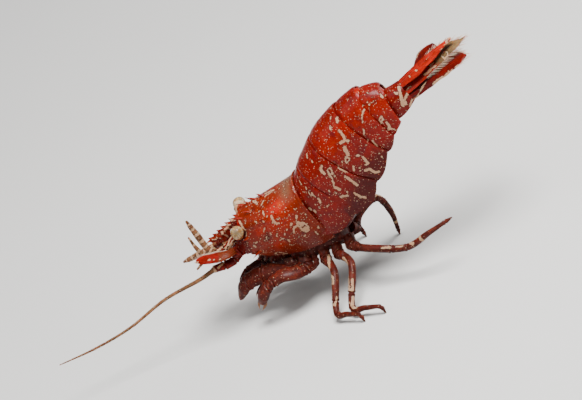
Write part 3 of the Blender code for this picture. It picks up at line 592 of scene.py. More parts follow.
# Marks on the near side as strokes: half-width, then places as s and girth from the back's middle
CARAPACE_MARKS = (
    (0.09, ((5.59, -4.53), (5.94, -5), (6.02, -5.53), (5.9, -5.92), (5.6, -5.88), (5.43, -5.43),
            (5.37, -4.91), (5.39, -4.61), (5.59, -4.53))),
    (0.2, ((5.67, -4.82), (5.7, -4.98))), (0.2, ((5.72, -5.5), (5.75, -5.62))),
    (0.09, ((5.38, -4.81), (4.89, -4.83), (4.65, -5.21))),
    (0.11, ((3.5, -2.71), (3.5, -3.14), (3.62, -3.52), (3.88, -3.59))), (0.08, ((4.13, -3.75),)),
    (0.12, ((4.94, -4.33), (4.84, -4.42))), (0.12, ((5.75, -3.94), (5.63, -4.13))),
    (0.07, ((5.2, -3.47),)), (0.06, ((4.86, -3.6),)), (0.06, ((4.67, -3.47),)), (0.07, ((3.86, -2.45),)),
    (0.06, ((3.31, -2.12),)), (0.07, ((2.85, -1.91), (2.85, -2.23))),
    (0.06, ((3.04, -2.56), (2.96, -2.69))), (0.07, ((2.51, -2.6), (2.54, -2.73))),
    (0.07, ((2.27, -3.27), (2, -3.59))), (0.05, ((3.55, -4.03),)), (0.08, ((4.23, -4.62),)),
    (0.1, ((3.07, -4.5), (2.93, -4.67))), (0.06, ((2.56, -4.06), (2.52, -4.25))), (0.06, ((2.06, -4.49),)),
    (0.08, ((3.8, -4.91), (3.69, -4.98))), (0.1, ((3.69, -5.72), (3.68, -5.93))),
    (0.07, ((2.93, -5.28), (3.34, -5.3))), (0.07, ((4.79, -5.96),)), (0.06, ((5.18, -6.23),)),
    (0.06, ((1.24, -4.1),)), (0.07, ((0.6, -3.05),)), (0.07, ((1.55, -4.49),)),
    (0.12, ((0.19, -4.45), (0.24, -4.66))), (0.05, ((0.4, -4.12),)), (0.06, ((-0.27, -4.58),)),
    (0.04, ((-0.61, -4.76), (-0.68, -5.12))), (0.07, ((0.73, -5.54), (0.62, -5.73))),
    (0.04, ((-0.19, -5.4), (0.11, -5.87))),
    (0.05, ((1.53, -6.49), (1.93, -6.59), (2.24, -6.95), (2.54, -7.3), (2.04, -7.14), (1.63, -6.93),
            (1.53, -6.49))),
    (0.05, ((2.95, -7.56),)), (0.03, ((4.87, -6.61), (4.97, -7.17))),
    (0.03, ((3.46, -6.28), (3.56, -6.52), (3.86, -6.62))), (0.04, ((6.19, -6.38), (6.19, -6.92))),
    (0.05, ((4.29, -5.88),)), (0.03, ((5.28, -7.65), (5.68, -7.82))),
    (0.07, ((2.76, -1.2), (3.04, -0.82))), (0.06, ((3.5, -1.34),)), (0.05, ((3.96, -1.66),)),
    (0.07, ((2.12, -0.14), (2.3, -0.8))), (0.06, ((1.75, 0.14), (2.12, -0.5))),
    (0.1, ((2.94, 0.14), (3.5, 0.15), (4.05, 0))),
    (0.04, ((-0.27, -3.65), (-0.54, -4.48), (-0.69, -5.27))),
    (0.06, ((0.2, -2.12), (0.22, -2.37), (0.23, -2.7), (0.04, -2.97))), (0.05, ((6.17, -3.33),)),
    (0.11, ((0, -1.23), (0.2, -1.77), (0.22, -2.37))),
)
SOMITE_MARKS = {
    1: (
        (0.06, ((8.6, -1.36), (8.5, -1.57))), (0.06, ((8.5, -1.68), (8.4, -2.21))),
        (0.09, ((8.6, -2.69), (8.5, -2.8))),
        (0.06, ((8.65, -3.15), (8.4, -3.1), (8.25, -3.4), (8.5, -3.65), (8.65, -3.15))),
        (0.05, ((8.45, -3.6), (8.5, -3.95))),
        (0.11, ((8.5, -4.2), (8.3, -4.55))), (0.05, ((8.16, -2.93),)), (0.04, ((7.84, -3.11),)),
        (0.05, ((7.95, -3.35),)), (0.04, ((8.16, -3.61),)), (0.06, ((6.89, -3.04), (6.79, -3.3))),
        (0.1, ((7.1, -3.92), (7.21, -4.22))), (0.1, ((7.32, -4.49), (7.32, -4.77))),
        (0.09, ((7.84, -4.75),)), (0.08, ((8.37, -5.34),)), (0.06, ((7.1, -0.87),)),
        (0.06, ((7.42, -5.36),)),
    ),
    2: (
        (0.11, ((11.48, -1.42), (11.27, -1.65))), (0.11, ((11.48, -2.24), (11.38, -2.36))),
        (0.14, ((11.69, -3.27), (11.27, -3.38), (11.17, -3.77))),
        (0.07, ((12, -3.97), (11.9, -4.24), (11.59, -4.49), (11.48, -4.07), (11.59, -3.94), (12, -3.97))),
        (0.1, ((11.38, -4.19), (11.07, -4.68), (10.54, -5.06))), (0.1, ((11.48, -4.72),)),
        (0.14, ((10.44, -5.15), (10.44, -5.64))), (0.1, ((9.82, -4.88),)), (0.09, ((9.94, -5.46),)),
        (0.08, ((11.79, -5.14),)), (0.06, ((12.42, -3.87),)),
        (0.12, ((12.42, -4.73), (12.42, -5.26), (12.42, -5.44))),
        (0.14, ((11.93, -5.62), (11.87, -6.01), (11.78, -6.42), (11.65, -6.94))),
        (0.11, ((10.77, -7.09), (10.74, -7.74), (10.84, -8.17))), (0.1, ((9.76, -5.84), (10.23, -6.59))),
        (0.1, ((10.59, -6.4),)),
    ),
    3: (
        (0.06, ((12.49, -3.15),)), (0.11, ((13.11, -4.68),)), (0.08, ((12.7, -4.1),)),
        (0.06, ((14.15, -3.64),)), (0.1, ((15.6, -1.19),)), (0.13, ((16.02, -1.64), (15.81, -1.95))),
        (0.1, ((15.08, -1.76), (14.98, -2))), (0.11, ((15.39, -2.59), (15.39, -2.85), (15.19, -3.4))),
        (0.13, ((14.57, -3.46), (14.98, -3.56), (15.19, -3.82))),
        (0.16, ((14.46, -4.03), (14.25, -4.34), (14.05, -4.75))),
        (0.06, ((13.74, -4.69), (13.84, -5.05), (13.63, -5.15), (13.22, -5.07), (13.63, -4.69))),
        (0.14, ((14.36, -5.43), (14.46, -5.49))),
        (0.12, ((14.57, -5.91), (14.37, -6.41), (14.31, -6.71), (13.99, -6.7))),
        (0.1, ((13.22, -5.82), (12.91, -6.04))), (0.09, ((13.42, -6.38),)), (0.07, ((13.12, -6.56),)),
        (0.13, ((13.41, -6.95), (13.78, -7.21), (13.7, -7.79), (13.97, -8.06))), (0.05, ((15.81, -6.14),)),
        (0.06, ((15.72, -6.84),)), (0.06, ((15.57, -7.18), (15.42, -7.45))),
    ),
    4: (
        (0.06, ((18.12, -2.41), (17.7, -2.81), (17.27, -3.36))), (0.06, ((16.84, -3.94), (16.53, -4.31))),
        (0.11, ((16.21, -4.88),)), (0.11, ((16.42, -5.36), (16.23, -5.9))), (0.06, ((16.74, -6.42),)),
        (0.06, ((17.06, -5.65),)),
    ),
    5: (
        (0.06, ((18.54, -1.65),)), (0.06, ((18.54, -1.93),)), (0.06, ((18.75, -1.88),)),
        (0.06, ((18.54, -2.03),)), (0.06, ((18.97, -1.77),)), (0.05, ((18.97, -1.41),)),
        (0.06, ((18.11, -1.71),)), (0.06, ((18.97, -1.95),)), (0.06, ((19.61, -1.23), (19.61, -1.62))),
        (0.07, ((18.75, -3.4), (18.65, -3.79), (18.32, -4.08), (18.43, -3.64), (18.75, -3.4))),
        (0.1, ((18.11, -4.66),)), (0.11, ((18.75, -4.2), (18.65, -4.72), (18.32, -5.04))),
        (0.11, ((18.54, -4.94), (18.89, -5.32))),
    ),
    6: (
        (0.06, ((19.92, -0.61), (19.28, -0.91))), (0.11, ((20.87, -0.94), (20.98, -1.06))),
        (0.12, ((21.41, -0.66), (21.19, -1.2), (20.9, -1.7), (20.6, -2.35))),
        (0.1, ((21.0, -1.9), (21.3, -1.75), (21.62, -1.5))),
        (0.1, ((20.98, -2.07), (20.87, -2.36))), (0.09, ((21.51, -2.29), (20.98, -2.74))),
    ),
}


def scattered(count, s_range, q_range, size_range, seed):
    """Small specks strewn over a surface, some drawn out into short dashes."""
    draw = np.random.default_rng(seed)
    strokes = []
    for _ in range(count):
        s, q = draw.uniform(*s_range), draw.uniform(*q_range)
        half = draw.uniform(*size_range) * draw.choice((0.6, 1.0), p=(0.6, 0.4))
        reach = half * draw.choice((0.0, 1.5, 3.0), p=(0.6, 0.25, 0.15))
        turn = draw.uniform(0.0, np.pi)
        strokes.append((half, ((s, q), (s + reach * math.cos(turn), q + reach * math.sin(turn)))))
    return strokes


def both_sides(strokes, seed):
    """The near side's strokes and their like on the far side, a little displaced."""
    draw = np.random.default_rng(seed)
    mirrored = []
    for half, points in strokes:
        push = draw.uniform(-0.25, 0.25, 2)
        mirrored.append((half * draw.uniform(0.85, 1.15), [(s + push[0], -q + push[1]) for s, q in points]))
    return list(strokes) + mirrored


# part of the blade's length, then how deep the blade is there
ROSTRUM_DEPTHS = ((0.0, 0.5), (0.2, 0.5), (0.45, 0.66), (0.62, 1.12), (0.74, 1.12), (0.8, 0.85), (0.88, 0.5),
                  (0.95, 0.22), (1.0, 0.06))
# reach along the blade and height across it, upper edge at 0.45
ROSTRUM_MARKS = (
    (0.12, ((0.5, -0.1), (1.6, 0.02), (2.6, 0.08))),
    (0.14, ((1.15, -0.3), (1.3, 0.05), (1.2, 0.3))),
    (0.13, ((2.1, -0.4), (2.2, 0.0), (2.05, 0.25))),
    (0.1, ((2.9, -0.35), (3.0, 0.0), (2.9, 0.2))),
    (0.05, ((3.5, 0.05), (4.2, 0.1))),
    (0.05, ((0.95, 0.45), (1.02, 0.45))),
    (0.05, ((1.55, 0.45), (1.62, 0.45))),
    (0.05, ((2.15, 0.45), (2.22, 0.45))),
    (0.05, ((3.35, 0.45), (3.42, 0.45))),
)


def rostrum_teeth(reach, places, length, height):
    """How far the teeth at those places stand above a blade's edge."""
    rise = np.zeros_like(reach)
    for k, place in enumerate(places):
        t = (reach - place + length) / length
        tall = height * (1.0 - 0.35 * k / max(len(places) - 1, 1))
        rise = np.maximum(rise, np.where((t > 0) & (t <= 1), tall * t ** 1.6, 0.0))
        rise = np.maximum(rise, np.where((t > 1) & (t < 1.2), tall * (1.2 - t) / 0.2, 0.0))
    return rise


def build_rostrum(patch):
    """The toothed blade from the crest of the carapace to the rostrum's tip."""
    droop = math.radians(ROSTRUM_DROOP)
    ahead = np.array((-math.cos(droop), 0.0, -math.sin(droop)))
    above = np.array((-math.sin(droop), 0.0, math.cos(droop)))
    base = on_body(0.2, 0.0, table_at(BODY_SECTIONS, 0.2)[0] - 0.12)
    reach = np.arange(0.0, ROSTRUM_LENGTH, 0.045)[:, None]
    t = reach / ROSTRUM_LENGTH
    v = np.linspace(-1.0, 1.0, 15)[None, :]
    teeth = rostrum_teeth(reach, 0.75 + 0.6 * np.arange(7), 0.5, 0.36)
    lower = rostrum_teeth(reach, (3.55, 4.1, 4.5), 0.4, 0.22)
    top = 0.04 - 0.1 * t + teeth
    depth = table_at(ROSTRUM_DEPTHS, t)[..., 0]
    rib = 0.06 + 0.17 * bell(v, 0.1, 0.24) + 0.06 * (1 - v * v)
    half = rib * (1.0 - 0.75 * t ** 2) * (1 - 0.8 * np.abs(v) ** 6)
    height = (-depth - lower) * (1 - v) / 2 + top * (1 + v) / 2
    lean = np.where(v > 0, 0.42 * teeth * v ** 3, 0.0) + np.where(v < 0, 0.3 * lower * (-v) ** 3, 0.0)
    spot = base + ahead * (reach + lean)[..., None] + above * height[..., None]
    out = np.array((0.0, 1.0, 0.0)) * half[..., None]
    patch.tube(np.concatenate([spot + out, (spot - out)[:, ::-1]], axis=1), shade=0.12, glow=0.25, band=0.0,
               mark=there_and_back(stroke_distance(reach, v * 0.45, ROSTRUM_MARKS)))


def carapace_grid(step):
    """The carapace's surface with its s and girth, closed over the back with a low keel."""
    rows = int(round((CARAPACE_LENGTH + 0.7) / step))
    side_count, back_count = int(4.4 / step), int(7.0 / step) | 1
    grid, places, girths = [], [], []
    for k in range(rows):
        t = k / (rows - 1)
        station = t * CARAPACE_LENGTH
        crown, width, flank, _ = table_at(BODY_SECTIONS, station)
        y, z = contour(crown, width, flank, 0.6, side_count, back_count)
        front = -0.7 * smooth(-z / 3.0) + 0.28 * bell(z, -0.2, 0.42)
        s = front + t * (CARAPACE_LENGTH - front)
        keel = 0.3 * bell(y, 0.0, 0.22) * smooth((CREST_END - s) / 2.6) * (z > 0)
        groove = 0.1 * bell(s - 0.25 * (z + 1.0), 2.3, 0.2) * smooth((1.2 - np.abs(z + 0.9)) / 0.8)
        swell = 0.12 * bell(s, 4.3, 1.9) * bell(z, -1.6, 1.3)
        lip = 0.07 * bell(t, 0.985, 0.012) + 0.05 * bell(t, 0.0, 0.015)
        y = y * (1.0 + (swell - groove + lip) / width)
        z = z + keel + lip * (z > 0)
        grid.append(on_body(s, y, z))
        places.append(s)
        girths.append(girth(y, z))
    return np.array(grid), np.array(places), np.array(girths)


# height, then middle and spread in s and in girth, of dark and of glowing places on the carapace
CARAPACE_SHADES = ((0.8, 2.0, 0.6, 4.3, 0.7), (0.35, 1.2, 0.5, 2.3, 0.8))
CARAPACE_GLOWS = ((0.95, 4.3, 0.9, 2.15, 0.6), (0.55, 4.0, 1.6, 3.4, 1.2), (0.5, 1.7, 0.8, 3.4, 0.6),
                  (0.4, 2.6, 0.9, 5.6, 0.8))
# root and tip as s, y and z, and radius, of the spines over and beside the eye sockets
FRONT_SPINES = (
    ((0.9, 1.1, 0.6), (-0.4, 1.3, 1.35), 0.2),
    ((1.8, 1.1, 0.85), (0.75, 1.2, 1.65), 0.2),
    ((0.75, 1.45, -0.9), (-0.6, 1.95, -0.98), 0.2),
    ((0.6, 1.4, -2.7), (-0.6, 1.65, -3.15), 0.17),
)


def build_carapace(sizes, colours):
    """Carapace, crest, rostrum and front spines as one plate of shell."""
    rust = tinted(colours.shell, 1.05, 2.8, 1.0)
    paint = shell_paint("carapace shell", colours, sizes.wetness * 0.5, rust, colours.shell_dark)
    grid, s, q = carapace_grid(sizes.mesh_step / MM)
    side = np.abs(q)
    # Painted shade: the carapace darkens towards its lower edge; it is also darker at the front, off the
    # back, and at the listed spots
    shade = 0.5 * smooth((side - 5.2) / 1.9) + 0.25 * smooth((0.9 - s) / 1.2) * smooth((side - 1.6) / 1.5)
    shade = shade + bells(s, side, CARAPACE_SHADES)
    band = 1.1 * bell(s, 5.7, 0.8) * smooth((2.9 - side) / 1.6)
    strokes = both_sides(CARAPACE_MARKS, SEEDS["carapace marks"])
    strokes += scattered(190, (0.2, 6.7), (-6.4, 6.4), (0.03, 0.075), SEEDS["carapace specks"])
    patch = Patch()
    patch.plate(grid, sizes.plate_thickness / MM, mark=stroke_distance(s, q, strokes), shade=shade,
                glow=bells(s, side, CARAPACE_GLOWS), band=band)
    build_rostrum(patch)
    plain = {"mark": FAR, "shade": 0.2, "glow": 0.3, "band": 0.0}
    for at in CREST_END * (1.0 - np.arange(1, 5) / 5):
        crown = table_at(BODY_SECTIONS, at)[0]
        add_spine(patch, on_body(at + 0.1, 0.0, crown), on_body(at - 0.52, 0.0, crown + 0.62), 0.2, **plain)
    for side in SIDE_WORDS:
        for root, tip, radius in FRONT_SPINES:
            ends = [on_body(s, side * y, z) for s, y, z in (root, tip)]
            add_spine(patch, *ends, radius, **plain)
    patch.build("carapace_shell", paint, "shell", ["carapace"])


def somite_grid(number, step):
    """One somite's outer surface with s and girth. Its front slides in under the plate before it."""
    start, end = SOMITE_ENDS[number - 1], SOMITE_ENDS[number]
    rows = int(round((end - start + SOMITE_TUCK) / step))
    side_count, back_count = int(4.2 / step), int(7.4 / step) | 1
    grid, places, girths = [], [], []
    for k in range(rows):
        t = k / (rows - 1)
        inside = np.clip(start + t * (end - start), start + 0.2, end - 0.01)
        crown, width, flank, belly = table_at(BODY_SECTIONS, inside)
        hang = belly + (flank - belly) * (0.62 + 0.38 * math.sin(math.pi * (0.1 + 0.8 * t)))
        y, z = contour(crown, width, hang, 0.9, side_count, back_count)
        over = smooth((-z - 0.6) / 0.8) if number == 2 else np.zeros_like(z)
        front = seam(number - 1, z) - SOMITE_TUCK * (1.0 - over) + 0.02
        s = front + t * (seam(number, z) + 0.12 - front)
        into = (s - seam(number - 1, z)) / SOMITE_TUCK
        tuck = -0.16 * (1.0 - smooth(into * 0.8)) * (1.0 - over) + 0.03 * over * (1.0 - smooth(into))
        lip = 0.015 * bell(t, 0.97, 0.02) - 0.04 * smooth((t - 0.93) / 0.07)
        fold = 0.015 * bell(into, 1.3, 0.25)
        push = tuck + lip - fold
        y = y * (1.0 + push / width)
        z = z + push * np.clip(z / crown, 0.0, 1.0)
        grid.append(on_body(s, y, z))
        places.append(s)
        girths.append(girth(y, z))
    return np.array(grid), np.array(places), np.array(girths)


# s and how deep the soft body hangs below the hinge line
SOFT_DEPTHS = (
    (-0.45, 2.2),
    (0.2, 4.6),
    (0.6, 6.2),
    (1.2, 6.35),
    (1.8, 5.9),
    (2.8, 5.4),
    (4.4, 5.1),
    (6.2, 4.9),
    (6.9, 4.9),
    (7.6, 4.9),
    (8.6, 4.3),
    (9.6, 2.8),
    (12.3, 1.95),
    (16.0, 1.75),
    (18.0, 1.55),
    (19.8, 1.15),
    (21.5, 0.8),
)


def build_abdomen(sizes, colours):
    """Six overlapping rings of shell over one soft body."""
    shell = shell_paint("abdomen shell", colours, sizes.wetness, colours.shell, colours.shell_dark)
    for number in range(1, 7):
        grid, s, q = somite_grid(number, sizes.mesh_step / MM)
        side = np.abs(q)
        # Painted shade: the plates darken towards their lower edges, less on somite 1; somite 6 is darker all
        # over
        shade = 0.95 * smooth((side - 4.7) / 3.4) * (0.6 if number == 1 else 1.0) + 0.4 * (number == 6)
        glow = 0.3 * bell(side, 2.6, 1.2) * (number in (3, 4, 5))
        strokes = both_sides(SOMITE_MARKS[number], number)
        strokes += scattered(26 if number < 6 else 5, SOMITE_ENDS[number - 1:number + 1], (-5.5, 5.5),
                             (0.025, 0.06), SEEDS["somite specks"] + number)
        patch = Patch()
        patch.plate(grid, sizes.plate_thickness / MM, mark=stroke_distance(s, q, strokes), shade=shade,
                    glow=glow, band=0.0)
        patch.build(f"abdomen_shell_{number}", shell, "shell", [f"abdomen_{number}"])
    rings = []
    around = math.tau * np.arange(SOFT_SIDES) / SOFT_SIDES
    rise, out = np.sin(around), np.cos(around)
    for s in np.arange(-0.45, 21.65, 0.12):
        crown, width = table_at(BODY_SECTIONS, s)[:2]
        crown = crown + 0.31 * bell(s, 19.6, 0.4) + 0.31 * bell(s, 18.05, 0.4)
        under = table_at(SOFT_DEPTHS, s)[0]
        pull = 1.0 - 0.42 * np.maximum(-rise, 0.0) ** 2 * smooth((8.6 - s) / 2.0)
        rings.append(on_body(s, out * (width - SOFT_INSET) * pull,
                             rise * np.where(rise > 0, crown - 0.28, under)))
    soft = Patch()
    # Painted light and shade: the soft body is painted lighter, with some of the glow colour, on top where it
    # shows between the plates, and darker below
    upper = np.broadcast_to(smooth((rise[::-1] + 0.3) / 0.6)[None, :], (len(rings), len(rise)))
    soft.tube(np.array(rings)[:, ::-1], mark=FAR, shade=0.8 - 0.7 * upper, glow=0.4 * upper, band=0.0)
    soft.build("soft_body", shell, "shell")


class TailFrame:
    """Places behind the last somite: a back, w to the right and n up, banked and dished."""

    BANK = 4.0
    DISH = 0.04

    def __init__(self):
        s = SOMITE_ENDS[6]
        self.base = on_body(s)
        back, right, up = body_axes(s + 1.0)
        turn = math.radians(self.BANK)
        self.back = back
        self.right = right * math.cos(turn) + up * math.sin(turn)
        self.up = up * math.cos(turn) - right * math.sin(turn)

    def place(self, a, w, n):
        """World places."""
        a, w, n = np.broadcast_arrays(*(np.asarray(x, float) for x in (a, w, n)))
        lift = n + self.DISH * w * w
        return self.base + self.back * a[..., None] + self.right * w[..., None] + self.up * lift[..., None]


TELSON_LENGTH = 6.4
TELSON_RISE = 0.7
TELSON_SWING = -6.0
TELSON_WIDTHS = ((0.0, 0.8), (0.2, 0.84), (0.4, 0.78), (0.6, 0.64), (0.85, 0.38), (0.97, 0.22), (1.0, 0.06))
INNER_ROOT = (0.46, -0.12)  # distance from the midline and height
OUTER_ROOT = (0.75, -0.94)
INNER_WIDTHS = ((0.0, 0.5), (0.15, 0.72), (0.4, 0.74), (0.65, 0.7), (0.85, 0.5), (0.96, 0.24), (1.0, 0.05))
OUTER_WIDTHS = {
    -1: ((0.0, 0.24), (0.14, 0.36), (0.4, 0.56), (0.65, 0.82), (0.85, 0.93), (0.95, 0.7), (1.0, 0.15)),
    1: ((0.0, 0.28), (0.14, 0.56), (0.35, 1.14), (0.6, 1.5), (0.78, 1.5), (0.9, 1.2), (0.97, 0.8),
        (1.0, 0.4)),
}
# spread to the right in degrees, length and droop of the tip
OUTER_VANES = {-1: (-14.0, 6.6, 0.1), 1: (36.0, 4.8, 0.1)}
INNER_VANES = {-1: (-2.5, 7.2, 0.1), 1: (9.0, 5.1, 0.2)}
SIDE_WORDS = {-1: "left", 1: "right"}

# Marks of the vanes: half-width, then places as distance from the root and distance from the midrib
VANE_MARKS = {
    "telson": (
        (0.07, ((0, -0.36), (-0.45, -0.12), (-0.75, 0.08))), (0.13, ((5.92, -0.07), (5.89, -0.19))),
        (0.06, ((3.64, -0.28), (3.46, -0.39))), (0.04, ((3.23, -0.46), (3.23, -0.44))),
        (0.1, ((2, -0.55), (2.11, -0.67))), (0.06, ((1.17, -0.46), (1.17, -0.65))),
        (0.12, ((6.15, -0.05), (6.4, 0.05))),
    ),
    ("inner", -1): (
        (0.07, ((0.46, -0.29), (0.33, -0.22), (0, -0.22))), (0.05, ((2.11, 0.19),)),
        (0.06, ((4.62, -0.22), (4.95, -0.06), (5.2, -0.35), (5.12, -0.59), (4.62, -0.64), (4.56, -0.25))),
        (0.06, ((3.17, -0.59), (3.43, -0.6), (3.63, -0.61), (3.5, -0.6), (3.24, -0.59))),
        (0.09, ((3.1, -0.18), (3.57, -0.27), (3.04, -0.44))),
        (0.11, ((2.25, -0.5), (2.64, -0.55), (2.97, -0.58))),
    ),
    ("outer", -1): (
        (0.09, ((4.52, -0.76),)), (0.04, ((4.64, -0.55),)),
        (0.06, ((2.42, -0.53), (3.21, -0.62), (3.75, -0.74), (4.29, -0.82), (4.78, -0.87), (5.34, -0.92),
                (5.73, -0.82))),
        (0.07, ((-0.36, -0.14), (0.42, -0.25), (1.03, -0.15), (1.51, -0.06), (1.82, 0.02))),
    ),
    ("outer", 1): (
        (0.07, ((3.18, 1.24), (3.54, 1.19))), (0.05, ((3.72, 1.16), (3.98, 1.12))),
    ),
    ("scale", -1): (
        (0.12, ((3.11, 0.21),)), (0.1, ((2.66, 0.3),)), (0.08, ((2.11, 0.44),)),
    ),
}


class Vane:
    """A thin lens-shaped blade of the tail fan with a midrib, side ribs and wavy edges."""

    def __init__(self, tail, root, vane, widths, thickness, ribs, hidden=0.6, outside=1, inner_reach=0.0,
                 inner_rise=0.0):
        spread, self.length, self.droop = vane
        self.tail, self.root, self.turn, self.widths = tail, root, math.radians(spread), widths
        self.thickness, self.ribs, self.hidden = thickness, ribs, hidden
        self.outside, self.inner_reach, self.inner_rise = outside, inner_reach, inner_rise

    def half(self, t):
        """Half the blade's width."""
        return table_at(self.widths, t)[..., 0]

    def place(self, t, v, lift=0.0):
        """World places at a part t of the length and v of the half-width, and their distances."""
        half = self.half(t)
        along = np.where(t < 0, t * self.hidden, t * self.length)
        along = along - 0.3 * half * np.abs(v) ** 2 * smooth((t - 0.6) / 0.4)
        inward = 0.5 - 0.5 * v * self.outside
        half = half * (1.0 + self.inner_reach * inward * smooth(t * 3) * smooth((1.05 - t) * 3))
        lift = lift + self.inner_rise * inward * smooth((1.1 - t) * 1.6)
        off = v * half
        a = self.root[0] + along * math.cos(self.turn) - off * math.sin(self.turn)
        w = self.root[1] + along * math.sin(self.turn) + off * math.cos(self.turn)
        wave = 0.035 * np.sin(along * 3.1 + 2.0 * v) * np.abs(v) ** 3 * smooth(t * 2)
        n = self.root[2] + 0.11 * (1.0 - v * v) * half - self.droop * np.abs(t) * t + wave + lift
        n = n - 0.25 * smooth(-t) * (1.0 if self.root[2] > 0 else -0.6)
        return self.tail.place(a, w, n), along, off

    def add(self, patch, strokes=(), rows=110, columns=41):
        """Adds the blade with its midrib, side ribs and fine grooves."""
        t = np.concatenate([[-1.0, -0.6, -0.25], np.linspace(0.0, 1.0, rows)])[:, None]
        v = np.linspace(-1.0, 1.0, columns)[None, :]
        t, v = np.broadcast_arrays(t, v)
        along, off = t * self.length, v * self.half(t)
        body = self.thickness * (1.0 - 0.82 * np.abs(v) ** 2.5) * (1.0 - 0.5 * smooth((t - 0.7) / 0.3))
        relief = sum(0.06 * bell(off, self.half(t) * place, 0.06) for place in self.ribs)
        grooves = 0.012 * np.sin(off * 34.0 + along * 3.0) * smooth(t * 3) * (1 - np.abs(v) ** 4)
        top, along, off = self.place(t, v, body + relief * smooth(1.1 - t) + grooves)
        under = self.place(t, v, -body)[0]
        along, off = there_and_back(along), there_and_back(off)
        patch.tube(np.concatenate([top, under[:, ::-1]], axis=1), mark=stroke_distance(along, off, strokes),
                   reach=along / self.length)

    def fringe(self, patch, spans, seta, seed, spacing=0.085):
        """Bristles along the edge. Each span is side, start and end as parts of the length."""
        draw = np.random.default_rng(seed)
        for side, start, end in spans:
            count = int((end - start) * self.length / spacing)
            for k in range(count):
                t = start + (end - start) * (k + draw.uniform(0.2, 0.8)) / count
                root = self.place(np.array(t), np.array(side * 0.97))[0]
                inner = self.place(np.array(t), np.array(side * 0.55))[0]
                ahead = self.place(np.array(min(t + 0.03, 1.0)), np.array(side * 0.97))[0]
                slant = 0.75 - 0.3 * smooth((t - 0.7) / 0.3)
                out = unit(unit(root - inner) * slant + unit(ahead - root) * 0.8)
                long = seta * draw.uniform(0.75, 1.15) * (0.45 + 0.55 * smooth((t - start) / 0.12))
                push = self.tail.up * draw.uniform(-0.1, 0.12) * long
                uv = (0.12 + 0.2 * (1 + side * 0.5) + 0.5 * t, 0.1 + 0.8 * t)
                add_bristle(patch, root - out * 0.05, root + out * long + push, 0.03, push * 0.8, uv)


def add_bristle(patch, root, tip, radius, bend, uv):
    """A fine tapered bristle with its own small place in the coat's map."""
    t = np.linspace(0.0, 1.0, BRISTLE_RINGS)[:, None]
    path = root + (tip - root) * t + np.asarray(bend) * (4 * t * (1 - t))
    grid, angle = tube_grid(path, radius * np.maximum(1.0 - t[:, 0], 0.12), 4, side=beside(tip - root))
    patch.tube(grid, map_u=uv[0] + 0.0014 * np.cos(angle), map_v=uv[1] + 0.0028 * (t - 0.5) + 0.0 * angle,
               mark=FAR, reach=t + 0.0 * angle)


def build_coat(patch, name, material, slot):
    """A coat of bristles with its map."""
    mesh = patch.build(name, material, slot).data
    layer = mesh.uv_layers.new(name="OFBake")
    corners = np.empty(len(mesh.loops), dtype=np.int32)
    mesh.loops.foreach_get("vertex_index", corners)
    uv = np.stack([np.concatenate(patch.values[key])[corners] for key in ("map_u", "map_v")], axis=-1)
    layer.data.foreach_set("uv", np.clip(uv, 0.0, 1.0).astype(np.float32).ravel())


def vane_paint(name, colours, wetness, light, root=None):
    """Blade of the tail fan: ribbed and streaked, darker inside, with cream marks."""
    paint = Paint(name)
    cloud, fine = paint.noise(0.9, 4.0, 0.6), paint.noise(5.0, 3.0, 0.6, 4.0)
    base = paint.mix(paint.step(cloud, 0.38, 0.64), tinted(light, 0.5), light)
    base = paint.mix(paint.step(fine, 0.5, 0.75, 0.0, 0.55), base, tinted(light, 0.3))
    if root is not None:
        ends = paint.math("ADD", paint.value("reach"), paint.sway(cloud, 0.3))
        base = paint.mix(paint.step(ends, 0.56, 0.42), base, root)
    base = paint.mix(paint.step(paint.value("reach"), 0.75, 0.0, 0.0, 0.35), base, colours.shell_dark)
    base = paint.lay(base, paint.dots(4.2, 0.16, 0.07), 0.5, colours.glow)
    base, cover = marked(paint, base, colours.mark, tinted(colours.shell_dark, 0.4), 0.04)
    paint.bump(paint.noise(12.0, 3.0, 0.6), 0.01)
    paint.bump(cover, 0.01)
    return paint.finish(base, paint.step(fine, 0.3, 0.8, 0.28, 0.45), wetness, depth=0.3, spread=0.4)


# distance from the root, half-width's factor on the left and on the right, and length of the telson's spines
TELSON_SPINES = ((3.2, 1.48, 1.0, 0.55), (4.2, 1.48, 1.0, 0.55), (5.1, 1.25, 1.0, 0.6),
                 (5.75, 1.25, 1.0, 0.6), (6.2, 0.625, 0.5, 0.3))
# back, distance from the midline and height of the stalk that carries an outer blade
BLADE_STALK = ((-0.5, 0.5, -0.35), (0.1, 0.6, -0.5), (0.8, 0.72, -0.62), (1.35, 0.8, -0.66))
STALK_RADII = ((0.0, 0.4), (0.5, 0.46), (0.85, 0.4), (1.0, 0.12))


